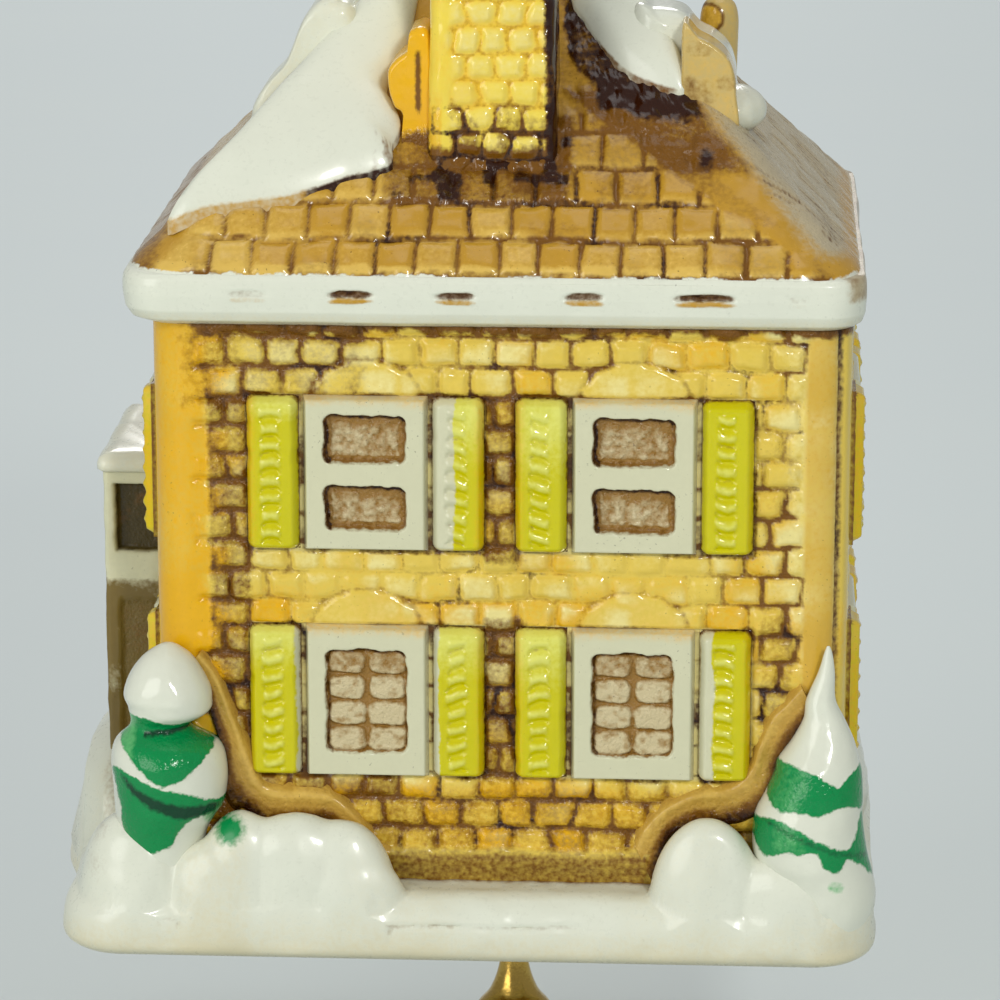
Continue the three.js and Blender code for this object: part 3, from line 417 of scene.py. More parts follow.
def tube(path, radius, around=20):
    """Loops of a round wire along a path in space: path + radius * (cos a * side + sin a * other side)."""
    ahead = np.gradient(path, axis=0)
    ahead /= np.linalg.norm(ahead, axis=1, keepdims=True)
    flat = np.linalg.svd(path - path.mean(0))[2][2]
    other = np.cross(ahead, flat)
    angle = np.linspace(0, 2 * np.pi, around, endpoint=False)[None, :, None]
    return path[:, None] + radius * (np.cos(angle) * flat + np.sin(angle) * other[:, None])


def turned(profile, centre, around=72):
    """Loops of a turned shape: a circle of each radius of the profile at its height."""
    profile = np.array(profile)
    angle = np.linspace(0, 2 * np.pi, around, endpoint=False)
    radius, z = profile[:, :1], profile[:, 1:]
    return loops_of(centre[0] + radius * np.cos(angle), centre[1] + radius * np.sin(angle), z)


def wire_ring(radius, wire, height):
    """Loops of a ring of round wire that stands across the front, about a height."""
    turn = np.linspace(0, 2 * np.pi, 72, endpoint=False)[:, None]
    angle = np.linspace(0, 2 * np.pi, 20, endpoint=False)
    reach = radius + wire * np.cos(angle)
    return loops_of(reach * np.cos(turn), wire * np.sin(angle), height + reach * np.sin(turn))


# Materials


class Signal:
    """A socket with a number or colour; arithmetic on a number adds Math nodes."""

    def __init__(self, recipe, socket):
        self.recipe, self.socket = recipe, socket

    def math(self, operation, first, second):
        return self.recipe.add("ShaderNodeMath", {"operation": operation}, {0: first, 1: second})

    def __add__(self, other):
        return self.math("ADD", self, other)

    __radd__ = __add__

    def __sub__(self, other):
        return self.math("SUBTRACT", self, other)

    def __rsub__(self, other):
        return self.math("SUBTRACT", other, self)

    def __mul__(self, other):
        return self.math("MULTIPLY", self, other)

    __rmul__ = __mul__


class Recipe:
    """A material or a world, built node by node onto its shader."""

    def __init__(self, name, owners=None, shader="Principled BSDF", **constants):
        self.made = (bpy.data.materials if owners is None else owners).new(name)
        self.made.use_nodes = True
        self.tree = self.made.node_tree
        self.shader = self.tree.nodes[shader]
        for socket, value in constants.items():
            self.shader.inputs[socket.replace("_", " ").title().replace("Ior", "IOR")].default_value = value
        self.place = self.add("ShaderNodeTexCoord", output="Object")

    def add(self, kind, settings=None, inputs=None, output=0):
        """One node: its settings, then the values or links of its sockets."""
        node = self.tree.nodes.new(kind)
        for setting, value in (settings or {}).items():
            setattr(node, setting, value)
        for socket, value in (inputs or {}).items():
            if isinstance(value, Signal):
                self.tree.links.new(value.socket, node.inputs[socket])
            else:
                node.inputs[socket].default_value = value
        return Signal(self, node.outputs[output])

    def grain(self, size, detail=2):
        """Noise from 0 to 1 with lumps about size millimetres across."""
        inputs = {"Vector": self.place, "Scale": MM / size, "Detail": detail}
        return self.add("ShaderNodeTexNoise", None, inputs, "Fac")

    def mask(self, label):
        return self.add("ShaderNodeAttribute", {"attribute_name": label}, output="Fac")

    def mix(self, share, first, second):
        return self.add("ShaderNodeMix", {"data_type": "RGBA"}, {0: share, 6: first, 7: second}, 2)

    def clipped(self, value):
        return self.add("ShaderNodeClamp", None, {0: value})

    def feed(self, socket, value):
        self.tree.links.new(value.socket, self.shader.inputs[socket])


def glaze(name, base, layers=(), gloss=0.2, mottle=0.1, speck=0.0, dimple=0.35):
    """Glossy fired glaze: a base colour, painted layers whose masks are on the mesh, and a dimpled skin.

    A layer is a mask, a colour and a sharpness; noise roughens its edge where the mask is between 0 and 1.
    """
    recipe = Recipe(name, coat_roughness=0.1, specular_ior_level=0.3)
    broad, fine, dust = recipe.grain(3.5), recipe.grain(0.38), recipe.grain(0.22, 1)
    colour = tint(base)
    for label, layer, sharp in layers:
        mask = recipe.mask(label)
        edge = mask + (fine - 0.5) * 4 * mask * (1 - mask)
        colour = recipe.mix(recipe.clipped((edge - 0.5) * sharp + 0.5), colour, tint(layer))
    if speck:
        dots = recipe.clipped((dust - 0.70) * 14) * recipe.clipped((broad - 0.42) * 5) * speck
        colour = recipe.mix(dots, colour, tint("dark"))
    shade = 1 - mottle * 0.5 + mottle * broad + (fine - 0.5) * mottle * 0.6
    if not isinstance(colour, Signal):
        colour = recipe.mix(0.0, colour, colour)
    colour = recipe.add("ShaderNodeVectorMath", {"operation": "SCALE"}, {0: colour, "Scale": shade})
    recipe.feed("Base Color", colour)
    grit = recipe.mask("grit")
    recipe.feed("Roughness", gloss + (fine - 0.5) * 0.2 + grit * 0.1)
    recipe.feed("Coat Weight", 0.32 - grit * 0.25)
    height = fine * dimple * 0.25 + broad * dimple + (dust + fine) * grit * 1.6
    bump = recipe.add("ShaderNodeBump", None, {"Strength": 0.6, "Distance": 0.00012, "Height": height})
    recipe.feed("Normal", bump)
    return recipe.made


def brass(name):
    """Polished brass with fine scratches and faint darkening."""
    recipe = Recipe(name, metallic=1.0)
    broad, fine = recipe.grain(2.5), recipe.grain(0.3)
    recipe.feed("Base Color", recipe.mix(broad * 0.35, tint("brass"), tint("wash")))
    recipe.feed("Roughness", 0.12 + fine * 0.2)
    bump = recipe.add("ShaderNodeBump", None, {"Strength": 0.3, "Distance": 0.00005, "Height": fine})
    recipe.feed("Normal", bump)
    return recipe.made


# Each glaze: its base colour, its painted layers as mask, colour and sharpness, and its finish
GLAZES = {
    "snow_glaze": {
        "base": "snow",
        "layers": [("cream", "cream", 1.0), ("taupe", "taupe", 1.2), ("wash", "wash", 1.2),
                   ("tan", "tile", 1.2), ("dark", "dark", 1.6), ("green", "fir", 1.6)],
        "gloss": 0.3, "mottle": 0.06, "speck": 0.12,
    },
    "brick_glaze": {
        "base": "brick",
        "layers": [("gold", "gold", 1.2), ("pale", "pale_brick", 1.2), ("peach", "peach", 1.2),
                   ("wash", "wash", 1.5), ("dark", "dark", 1.8)],
        "gloss": 0.2, "mottle": 0.16, "speck": 0.5, "dimple": 0.6,
    },
    "tile_glaze": {
        "base": "tile",
        "layers": [("gold", "tile_gold", 1.2), ("taupe", "taupe", 1.2), ("wash", "wash", 1.5),
                   ("dark", "dark", 1.8), ("snow", "snow", 3.0)],
        "gloss": 0.24, "mottle": 0.2, "speck": 0.7,
    },
    "chimney_glaze": {
        "base": "chimney",
        "layers": [("gold", "orange", 1.0), ("pale", "pale_brick", 1.0), ("wash", "wash", 1.6),
                   ("dark", "dark", 2.0)],
        "gloss": 0.16, "mottle": 0.08, "speck": 0.15,
    },
    "shoulder_glaze": {"base": "orange", "layers": [("wash", "wash", 1.5)], "gloss": 0.16, "mottle": 0.12},
    "dormer_glaze": {
        "base": "tan",
        "layers": [("gold", "orange", 1.0), ("wash", "wash", 1.4), ("snow", "snow", 2.2)],
        "gloss": 0.2, "mottle": 0.14, "speck": 0.3,
    },
    "frame_glaze": {
        "base": "trim",
        "layers": [("green", "shutter", 1.6), ("faint", "shutter_pale", 1.2), ("gold", "gold", 1.0),
                   ("pane", "pane", 2.5), ("glint", "pane_grey", 1.6), ("wash", "wash", 1.5),
                   ("dark", "dark", 1.8)],
        "gloss": 0.2, "mottle": 0.07, "speck": 0.45,
    },
    "shutter_glaze": {
        "base": "shutter",
        "layers": [("faint", "shutter_pale", 1.1), ("gold", "gold", 1.0), ("bare", "trim", 2.2),
                   ("wash", "wash", 1.5), ("dark", "dark", 1.8)],
        "gloss": 0.13, "mottle": 0.08, "speck": 0.15,
    },
    "earth_glaze": {
        "base": "earth",
        "layers": [("pale", "tile_gold", 1.0), ("wash", "wash", 1.4), ("dark", "dark", 1.6)],
        "gloss": 0.18, "mottle": 0.2, "speck": 0.5,
    },
    "bay_glaze": {
        "base": "bay",
        "layers": [("pale", "trim", 1.4), ("pane", "bay_pane", 2.0), ("wash", "wash", 1.4)],
        "gloss": 0.22, "mottle": 0.2, "speck": 0.5,
    },
    "fir_glaze": {
        "base": "snow",
        "layers": [("green", "fir", 2.4), ("thin", "thin_fir", 1.4), ("shadow", "deep_fir", 1.6)],
        "gloss": 0.12, "mottle": 0.06, "speck": 0.08,
    },
}


def material(name):
    """The material of that name, made the first time it is asked for."""
    made = bpy.data.materials.get(name)
    if made:
        return made
    return glaze(name, **GLAZES[name]) if name in GLAZES else brass(name)


# Pieces


def blot(points, u, v, soft=0.3):
    """1 inside a smooth closed outline, 0 outside: the signed distance to its nearest side, softened."""
    u, v = np.broadcast_arrays(u, v)
    line = spline(points, 6 * len(points))
    a, b = line, np.roll(line, -1, 0)
    side = b - a
    reach = np.stack([u, v], -1)[..., None, :] - a
    t = np.clip(np.sum(reach * side, -1) / np.sum(side**2, -1), 0, 1)
    away = np.min(np.hypot(*np.moveaxis(reach - t[..., None] * side, -1, 0)), -1)
    over = (a[:, 1] > v[..., None]) != (b[:, 1] > v[..., None])
    level = np.where(side[:, 1] == 0, 1e-9, side[:, 1])
    crosses = over & (reach[..., 0] < side[:, 0] * reach[..., 1] / level)
    inside = np.where(crosses.sum(-1) % 2, 1, -1)
    return step(-soft, soft, inside * away)


def wall_line(s):
    """Points and outward angles on the wall's outline, s along it from the middle of the front."""
    x, y, angle = (np.ravel(part) for part in ring(WALL, (200, 180, 200, 180), 40))
    x, y, angle = np.append(x, x[0]), np.append(y, y[0]), np.append(angle, np.radians(270))
    length = np.concatenate([[0], np.cumsum(np.hypot(np.diff(x), np.diff(y)))])
    at = (s + x.max() - WALL[4]) % length[-1]
    return np.interp(at, length, x), np.interp(at, length, y), np.interp(at, length, angle), length[-1]


def round_walls(s, out, up):
    """The point at s along the wall's outline, out from it and up."""
    x, y, angle, _ = wall_line(s)
    return loops_of(*pushed(x, y, angle, out), up)


def window_boxes():
    """Left, right, foot and top of each window unit on the front wall."""
    units = []
    for floor in ("upper", "lower"):
        for column in ("left", "right"):
            low = extent(f"front_{floor}_{column}_shutter_left")
            high = extent(f"front_{floor}_{column}_shutter_right")
            units.append((low[0], high[1], low[4], low[5]))
    return units


def front_relief(u, z):
    """Height and paint masks of the front wall at u across and z up."""
    size = sizes()
    pillow, joint, tone = bricks(u, z - 0.35, size.brick_width * MM, size.brick_rise * MM, 3)
    wave = 0.5 * rough(z, z * 0 + 3, 3.0, 21)
    tooth = 1.7 * (np.floor(z / 2.15) % 2)
    keep = step(-22.2, -21.6, u - tooth + wave) * (1 - step(21.3, 21.9, u + wave))
    arch, rim_of_arch = np.zeros_like(u), np.zeros_like(u)
    nearest = np.full_like(u, 9.0)
    for left, right, foot, top in window_boxes():
        share = np.hypot((u - (left + right) / 2) / 3.9, (z - top - 0.1) / 2.6)
        above = step(top - 0.2, top + 0.1, z)
        arch = np.maximum(arch, (1 - step(0.86, 1.0, share)) * above)
        rim_of_arch = np.maximum(rim_of_arch, bell(share - 1.0, 0.07) * above)
        nearest = np.minimum(nearest, beyond(left, right, foot, top, u, z))
    soil = between(-8.4, 10.6, u, 1.2) * (1 - step(7.3, 7.7, z + 0.4 * rough(u, z, 3, 31)))
    worn = step(0.35, 0.75, noise(u, z, 5.5, 40))
    calm = (between(-13.5, -5.0, u, 2.0) + between(6.0, 14.5, u, 2.0)) * between(26.6, 29.6, z, 1.0) * 0.5
    keep = keep * (1 - arch) * (1 - soil) * (1 - calm)
    outside = step(0.0, 0.2, nearest)
    height = size.brick_relief * MM * (pillow * keep * 1.15 + (1 - keep) * 0.8)
    height = height + arch * 0.12 - rim_of_arch * 0.1 + 0.14 * rough(u, z, 0.8, 50) * keep
    height = (height + soil * (0.15 + 0.4 * step(5.2, 6.8, z))) * outside
    low_zone = 1 - step(11.6, 13.0, z)
    mid = between(-0.9, 1.7, u, 0.5) * np.maximum(between(13, 24.6, z, 0.8), between(29.4, 41.0, z, 0.8))
    left_side = between(-20.6, -18.2, u, 0.6) * between(8, 40.5, z, 1.5)
    right_side = between(18.9, 20.8, u, 0.5) * (between(9, 24, z, 2) + 0.4 * between(24, 41, z, 1))
    corner = between(-21.5, -11, u, 3) * between(40.8, 46.8, z, 1.2)
    stain = 0.8 * mid + 0.7 * left_side + 0.55 * right_side + 0.48 * low_zone + 0.42 * corner
    stain = stain * (0.6 + 0.8 * noise(u, z, 1.3, 61)) * (1 - soil)
    inside = nearest == 0
    # Brown round each window unit and in the gaps inside it: brown wash with painted shade
    rim = bell(nearest, 0.26) * step(0.3, 0.75, noise(u, z, 2.2, 66)) * np.where(inside, 0.8, 1.0)
    eave = step(45.55, 45.95, z + 0.5 * rough(u, z, 1.6, 70) - 0.2 * pillow) * step(-22.5, -21, u)
    crest = 1 - step(0.2, 1.6, np.abs(z - 12.2 + 0.5 * rough(u, z, 2, 67)))
    crest = 0.8 * between(-20.5, -8, u, 1.0) * crest
    # A pale line along the top of the soil band: painted highlight
    shelf_highlight = bell(z - 7.35 + 0.4 * rough(u, z, 3, 31), 0.25) * between(-8, 10.2, u, 1.2)
    wash = joint * keep * (0.3 + 0.55 * worn) + stain * (1 - 0.35 * pillow) + rim * 0.8 + soil * 0.68
    wash = wash - 0.3 * shelf_highlight + rim_of_arch * 0.4 + crest * 0.5 + eave * 0.9
    # Lighter tops on some bricks: painted highlight
    tops = pillow * step(0.3, 0.9, noise(u, z, 2.2, 82)) * (0.5 + 0.5 * tone) * (1 - 0.6 * low_zone)
    pale = (tops + 0.15 * arch + 0.4 * step(19.8, 21, u) * step(20, 26, z)) * (1 - step(24.2, 24.6, u))
    masks = {
        "gold": (1 - step(-21.7, -20.6, u - tooth)) * (0.5 + 0.6 * noise(z, u, 6, 80)) * (u < 0)
        + 0.5 * step(0.45, 0.9, tone) * keep
        + 0.45 * low_zone * keep
        + 0.4 * between(21.5, 26, z, 2) * noise(u, z, 4, 81),
        "pale": pale * step(-21.5, -19, u) + inside * 0.8 + 0.15 * shelf_highlight,
        "peach": between(22.0, 23.7, u, 0.5) * (0.45 + 0.6 * noise(z, u, 3, 83)),
        "wash": wash,
        "dark": eave * 0.4 * noise(u, z, 2, 68) + joint * keep * step(0.6, 0.95, noise(u, z, 2.4, 84)) * 0.6
        + rim * 0.45 + stain * joint * 0.5,
        "grit": np.clip(stain + joint * keep * 0.4 + eave, 0, 1),
    }
    return height, masks


def side_relief(u, z):
    """Height and paint masks of the end walls and the back wall, u along the outline."""
    size = sizes()
    pillow, joint, tone = bricks(u, z - 0.35, size.brick_width * MM, size.brick_rise * MM, 4)
    height = size.brick_relief * MM * pillow * 1.1 + 0.1 * rough(u, z, 1.2, 51)
    stain = 0.5 * step(0.45, 0.8, noise(u, z, 7, 62))
    eave = step(45.35, 46.1, z + 0.5 * rough(u, z, 1.6, 71))
    masks = {
        "gold": 0.6 * step(0.3, 0.8, noise(u, z, 9, 85)),
        # Lighter tops on some bricks: painted highlight
        "pale": pillow * step(0.3, 0.9, noise(u, z, 2.2, 86)) * (0.4 + 0.5 * tone),
        "wash": joint * 0.85 + stain * (1 - 0.5 * pillow),
        "dark": eave * 1.2 + joint * step(0.5, 0.9, noise(u, z, 2.4, 87)) * 0.5,
        "grit": np.clip(stain + eave, 0, 1),
    }
    return height, masks


def wall_piece(name, first, last, columns, rows, shape):
    """A length of the brick wall from first to last along its outline, with the seam at its right corner."""
    s, z = grid(first, last, columns, LEDGE - 0.6, WALL_TOP + 0.3, rows)
    height, masks = shape(s, z)
    seam_at = 24.2
    seam = bell(s - seam_at + 0.1 * rough(z, s * 0, 6, 65), 0.28)
    height = height * (1 - seam) * (1 - bell(s - first, 0.5) - bell(s - last, 0.5))
    worn = 0.25 + 0.35 * step(43, 46, z) + 0.5 * noise(z, s * 0, 3.5, 69)
    masks["dark"] = np.maximum(masks["dark"], seam * worn)
    masks["wash"] = np.maximum(masks["wash"], seam * 0.8)
    plate(name, s, z, height, -SHELL, round_walls, "brick_glaze", "house_walls", masks)


def build_walls():
    """The brick walls: a fine front that turns both corners, and the three other walls."""
    end_of_front = 27.18
    whole_line = wall_line(np.zeros((1, 1)))[3]
    wall_piece("brick_front", -end_of_front, end_of_front, 270, 205, front_relief)
    wall_piece("brick_sides", end_of_front, whole_line - end_of_front, 330, 130, side_relief)


def mound_height(x, y, ground):
    """Height of the snow: soft maximum of the ground and of ellipsoids, lift + rise * sqrt(1 - r^2).

    A heap is its centre in x and y, its reach in x and y, its lift over the ledge and its rise.
    """
    heaps = (
        (-14.8, -22.5, 5.0, 2.85, -0.6, 6.2),
        (-11.3, -22.4, 3.9, 2.8, -0.8, 5.9),
        (-11.0, -23.2, 4.4, 2.35, -1.2, 4.4),
        (-18.6, -22.4, 3.6, 2.9, -0.8, 6.4),
        (-20.4, -23.0, 4.2, 2.6, -1.2, 5.0),
        (-26.4, -21.4, 4.6, 4.0, -1.2, 6.6),
        (15.1, -22.6, 4.15, 2.85, -0.9, 6.7),
        (21.4, -22.8, 5.2, 2.75, -1.3, 4.8),
        (24.6, -22.4, 2.9, 3.0, -2.2, 4.6),
        (25.1, 4.0, 2.5, 11.5, 0, 4.5),
        (-9.0, 21.9, 8.0, 3.0, 0, 4.6),
        (13.0, 21.9, 6.5, 3.0, 0, 3.4),
        (-29.5, -2.0, 5.2, 10.0, -1, 8.0),
    )
    soft = 0.3
    total = np.exp(ground / soft)
    for cx, cy, rx, ry, lift, rise in heaps:
        r = np.hypot((x - cx) / rx, (y - cy) / ry)
        top = lift + rise * np.where(r < 1, np.sqrt(np.clip(1 - r**2, 0, None)), 1 - r)
        total = total + np.exp((LEDGE + top) / soft)
    return soft * np.log(total) + 0.14 * rough(x, y, 2.2, 91) + 0.06


def build_base():
    """The snow base: a profile carried round the house, whose rounded ledge rises into mounds."""
    edge, rim, crown = 2.2, 2.4, 3.1
    turn = np.linspace(0, np.pi / 2, 10)[1:]
    cavity, seat = grown(WALL, -SHELL), grown(WALL, -0.9)
    profile = [(cavity, 4.4), (cavity, 2.4), (grown(BASE, -edge - rim), 0.0), (grown(BASE, -edge), 0.0)]
    profile += [(grown(BASE, -edge + edge * np.sin(a)), 1.9 * (1 - np.cos(a))) for a in turn]
    first = len(profile)
    share = np.linspace(0, 1, 52)[1:, None] ** 1.25
    x, y, angle = ring(np.array([outline for outline, _ in profile] + [BASE, seat]), (250, 90, 110, 90), 16)
    ledge_x = x[-2] + (x[-1] - x[-2]) * share
    ledge_y = y[-2] + (y[-1] - y[-2]) * share
    inset = share * np.hypot(x[-1] - x[-2], y[-1] - y[-2])
    ground = LEDGE - crown + np.sqrt(np.clip(crown**2 - np.clip(crown - inset, 0, None) ** 2, 0, None))
    ledge_z = mound_height(ledge_x, ledge_y, ground)
    z = np.array([level for _, level in profile])[:, None] + 0 * x[:first]
    outside = np.concatenate([step(0.6, 1.8, z), (1 - step(0.0, 0.35, share)) + 0 * ledge_z])
    x = np.concatenate([x[:first], ledge_x])
    y = np.concatenate([y[:first], ledge_y])
    z = np.concatenate([z, ledge_z])
    on_ledge = (np.arange(len(z)) >= first)[:, None]
    swell = np.sqrt(np.clip(1 - ((y + 2) / 10) ** 2 - ((z - 4) / 8) ** 2, 0, None))
    x = np.where((swell > 0) & (x < -28.5) & (z > 0.01), np.minimum(x, -29.5 - 5.2 * swell), x)
    front = bell(np.degrees(angle) + 90, 12)[None] * outside
    line = z - 2.9 - 0.35 * rough(x, x * 0, 9, 95) - 0.02 * np.abs(x + 8)
    crease = bell(line, 0.13) * between(-22, 4, x, 4) * front
    lumps = outside * (0.5 * rough(x + y, z, 4.5, 96) - 0.33) - 0.2 * crease
    x, y = pushed(x, y, angle, lumps)
    foot = bell(beyond(*WALL[:4], x, y), 0.7) * on_ledge * (z < LEDGE + 2.5)
    stain = bell(x + 29.2, 1.1) * bell(z - 9.0, 2.6) * (y < -4) * on_ledge
    masks = {
        # Cream towards the foot of the base is painted shade; the scattered cream spots are the glaze's own
        "cream": (1 - step(0.4, 3.4, z)) * 0.8 + 0.3 * step(0.5, 0.8, noise(x, y, 5, 97)),
        "wash": foot * between(-9, 12, x, 1.5) * (y < 0) + 0.35 * foot
        + 0.6 * crease * noise(x, z, 2, 98) + 0.6 * stain * noise(y, z, 1.6, 99),
        "green": bell(x + 19.4, 1.0) * bell(z - 9.7, 0.9) * on_ledge * 1.3 * (y < -20.8),
    }
    piece("snow_foot", loops_of(x, y, z), "snow_glaze", "snow_base", masks, joined=True)


def build_eave():
    """The eave: a fat roll whose outline blends from the wall's to the eave's, with shallow slits."""
    stations = 40
    heights = np.linspace(-0.4, EAVE_TOP - WALL_TOP + 0.36, stations)
    swell = (-0.4, 0.03), (-0.3, 0.4), (0.1, 0.78), (0.8, 0.94), (1.9, 1), (2.6, 1), (3.1, 0.97), (3.46, 0.86)
    share = np.interp(heights, *zip(*swell))
    profile = [(WALL + (EAVE - WALL) * s, WALL_TOP + h) for s, h in zip(share, heights)]
    profile += [(grown(WALL, -SHELL), EAVE_TOP), (grown(WALL, -SHELL), WALL_TOP)]
    x, y, angle = ring(np.array([outline for outline, _ in profile]), (240, 70, 80, 70), 18)
    z = np.array([level for _, level in profile])[:, None] + 0 * x
    outside = (np.arange(len(z)) < stations)[:, None]
    slit, lip = np.zeros_like(x), np.zeros_like(x)
    for along, width, depth in (
        (-17.8, 2.6, 0.25), (-10.5, 2.8, 1), (-3, 2.6, 0.9), (6, 2.4, 0.9), (14.5, 4.2, 1), (21, 1.0, 0.15)
    ):
        spread = (x - along + 0.3 * rough(x, z, 0.8, 101)) / (width / 2 + 0.2)
        rise = z - EAVE_TOP + 0.95 - 0.12 * rough(x, z, 1.5, 102)
        slit = np.maximum(slit, depth * (1 - step(0.5, 1.15, np.hypot(spread**2, rise / 0.3))))
        lip = np.maximum(lip, depth * (1 - step(0.5, 1.15, np.hypot(spread**2, (rise + 0.42) / 0.22))))
    front = (np.sin(angle) < -0.999)[None] * outside
    slit, lip = slit * front, lip * front
    out = (0.22 * rough(x + y, z, 7, 100) - 0.12) * outside - 0.4 * slit + 0.06 * lip
    x, y = pushed(x, y, angle, out)
    low = (1 - step(WALL_TOP - 0.35, WALL_TOP - 0.15, z)) * (x > -23)
    high = step(EAVE_TOP - 1.6, EAVE_TOP - 0.8, z + 0.5 * rough(y, z, 1.2, 103))
    right = step(0.45, 0.8, np.cos(angle)) * outside * high
    masks = {
        "taupe": right,
        # Cream on the lower part of the roll: painted shade
        "cream": (1 - step(WALL_TOP, WALL_TOP + 1.0, z)) * 0.5,
        "wash": slit * 0.9 + low * 0.7 + 0.5 * right * noise(y, z, 0.8, 104),
        "tan": lip * 0.9,
        "dark": slit * 0.55 + low * 0.5,
        "grit": slit,
    }
    piece("eave_roll", loops_of(x, y, z), "snow_glaze", "eave_band", masks, joined=True)


def roof_height(x, y):
    """Height of the plain roof over a point: the eave's height plus a soft least distance from the eaves."""
    inset = np.stack([x - EAVE[0], EAVE[1] - x, y - EAVE[2], EAVE[3] - y])
    soft = -0.8 * np.log(np.sum(np.exp(-inset / 0.8), 0))
    return EAVE_TOP + np.minimum(soft, RIDGE_INSET)


def build_roof():
    """The hip roof: rounded rectangles that shrink towards the ridge, moved out by the tiles' relief."""
    size = sizes()
    inset = np.concatenate([[0.9, 0.4], np.linspace(0.25, RIDGE_INSET, 122)])
    level = np.concatenate([[-0.4, -0.1], np.linspace(0, RIDGE_INSET, 122)])
    outlines = EAVE + drawn_in(inset)
    outlines[:, 4] = 4.6 - 3.8 * np.clip(level / RIDGE_INSET, 0, 1)
    steps = (240, 180, 64, 84)
    x, y, angle = ring(outlines, steps, 20)
    z = EAVE_TOP + level[:, None] + 0 * x
    facing = np.stack([np.cos(angle), np.sin(angle)])
    on_front = step(0.72, 0.95, -facing[1])[None]
    on_right = step(0.3, 0.9, facing[0])[None]
    on_back = step(0.75, 0.98, facing[1])[None]
    along = np.where(np.abs(facing[1]) > 0.7, x, y)

    rise, width = size.tile_rise * MM, size.tile_width * MM
    row = (z - EAVE_TOP - 0.3 + 0.3 * rough(along, z, 4, 110)) / rise
    course = np.floor(row)
    up = row - course
    jitter = 0.35 * cell_value(course, course * 0, 111)
    column = along / width + 0.5 * (course % 2) + jitter + 0.1 * rough(along, z, 3, 112)
    tile = np.floor(column)
    tone = cell_value(course, tile, 113)
    side = np.minimum(column - tile, 1 - column + tile) * width
    side = np.where(np.abs(facing[0])[None] > 0.4, 1.0, side)
    foot = np.minimum(up, 1 - up) * rise
    joint = 1 - step(0.04, 0.32, np.minimum(side, foot + 0.05) + 0.08 * rough(along, z, 0.7, 121))
    pillow = step(0.0, 0.55, np.minimum(side, foot))

    end = 23.4 - 1.9 * (z - 50.3) + 0.8 * rough(z, along, 2, 122)
    fade_right = 1 - step(-0.6, 0.6, x - end)
    fade_left = step(-23.2, -21.6, x - 0.3 * (z - 51))
    near = 1 - step(56.0, 57.6, z + 0.4 * rough(x, z, 2, 123))
    right_rows = between(4.4, 10.6, x, 0.8) * between(56.5, 60.0, z, 0.4) * 0.6
    tiled = on_front * fade_left * np.maximum(fade_right * near, right_rows) + 0.8 * on_back
    tiled = tiled + (1 - on_front) * (1 - on_back) * 0.15

    band = x - 9.6 - (59.6 - z) * 1.63
    speckled = on_front * between(4.2, 40, x, 0.4) * step(-0.2, 1.2, band + 3) * between(57.0, 61.2, z, 0.8)
    under_snow = on_front * blot(
        [(3.9, -3.5), (4.9, -5.0), (6.2, -6.2), (7.2, -7.2), (8.4, -8.2), (9.8, -8.9), (11.5, -9.4),
         (13.3, -10.0), (13.9, -11.6), (12.8, -12.2), (11, -12.1), (9, -11.7), (7.5, -11.0), (6.1, -9.9),
         (4.9, -8.6), (4.1, -7.6)],
        x + 0.5 * rough(x, y, 0.9, 124), y + 0.5 * rough(x, y, 0.8, 120), 0.25)
    by_chimney = on_front * between(-8.2, 4.4, x, 0.8) * between(54.9, 59.5, z, 0.8)
    ochre = on_front * step(4.5, 7, x) * (1 - tiled) * between(53.5, 60.2, z, 0.6)
    ochre = ochre * (1 - step(-0.4, 0.6, band))
    hip = x - (75.8 - z)
    taupe = step(-2.6, -0.8, hip + 0.5 * rough(x, z, 2.5, 125)) * step(51.4, 53.2, z)
    taupe = np.maximum(taupe * on_front, on_right * step(50.6, 52.0, z))
    taupe = np.maximum(taupe, (1 - on_right) * (1 - on_front) * 0.6 * step(52, 53.5, z))
    left_hip = on_front * step(53.6, 54.6, z + 0.4 * rough(x, z, 1.5, 135)) * (1 - step(-18, -15, x))
    messy = np.clip(speckled + under_snow + by_chimney, 0, 1)
    lines = bell((y + 0.5 * rough(x, y, 3, 128)) / 0.85 % 1 - 0.5, 0.2)
    streak = lines * taupe * step(0.4, 0.8, noise(y * 1.2, z, 1.8, 129)) * step(-3.2, -1.2, hip)
    # A pale gold line just above the eave: painted highlight
    lip = between(0.35, 0.75, z - EAVE_TOP + 0.2 * rough(along, z, 1.6, 127), 0.15)

    height = tiled * (0.2 * pillow + 0.22 * (1 - up)) - tiled * joint * 0.12
    height = height + 0.1 * rough(along, z, 1.4, 114) + messy * 0.3 * rough(along, z, 0.7, 126)
    height = (height + (1 - tiled) * 0.2) * step(0.1, 0.5, z - EAVE_TOP) - 0.1 * streak
    height[:2] = 0
    outer = loops_of(x, y, z) + SLOPE * loops_of(*facing, 1 + 0 * x) * height[..., None]
    lining = np.linspace(1, 0, 8) * (RIDGE_INSET - 3.5) * 0.84
    hollow = grown(EAVE, -4.4) + drawn_in(lining)
    hollow[:, 4] = 1.2
    hollow_x, hollow_y, _ = ring(hollow, steps, 20)
    inner = loops_of(hollow_x, hollow_y, EAVE_TOP + 0.2 + lining[:, None])

    corner = on_front * step(21.4, 22.6, x) * (1 - step(51.2, 52.6, z))
    left_end = step(-1.2, 0.4, -(x + 24.6 - 0.25 * (z - 51))) * (x < 0)
    grime = noise(along, z, 1.8, 118)
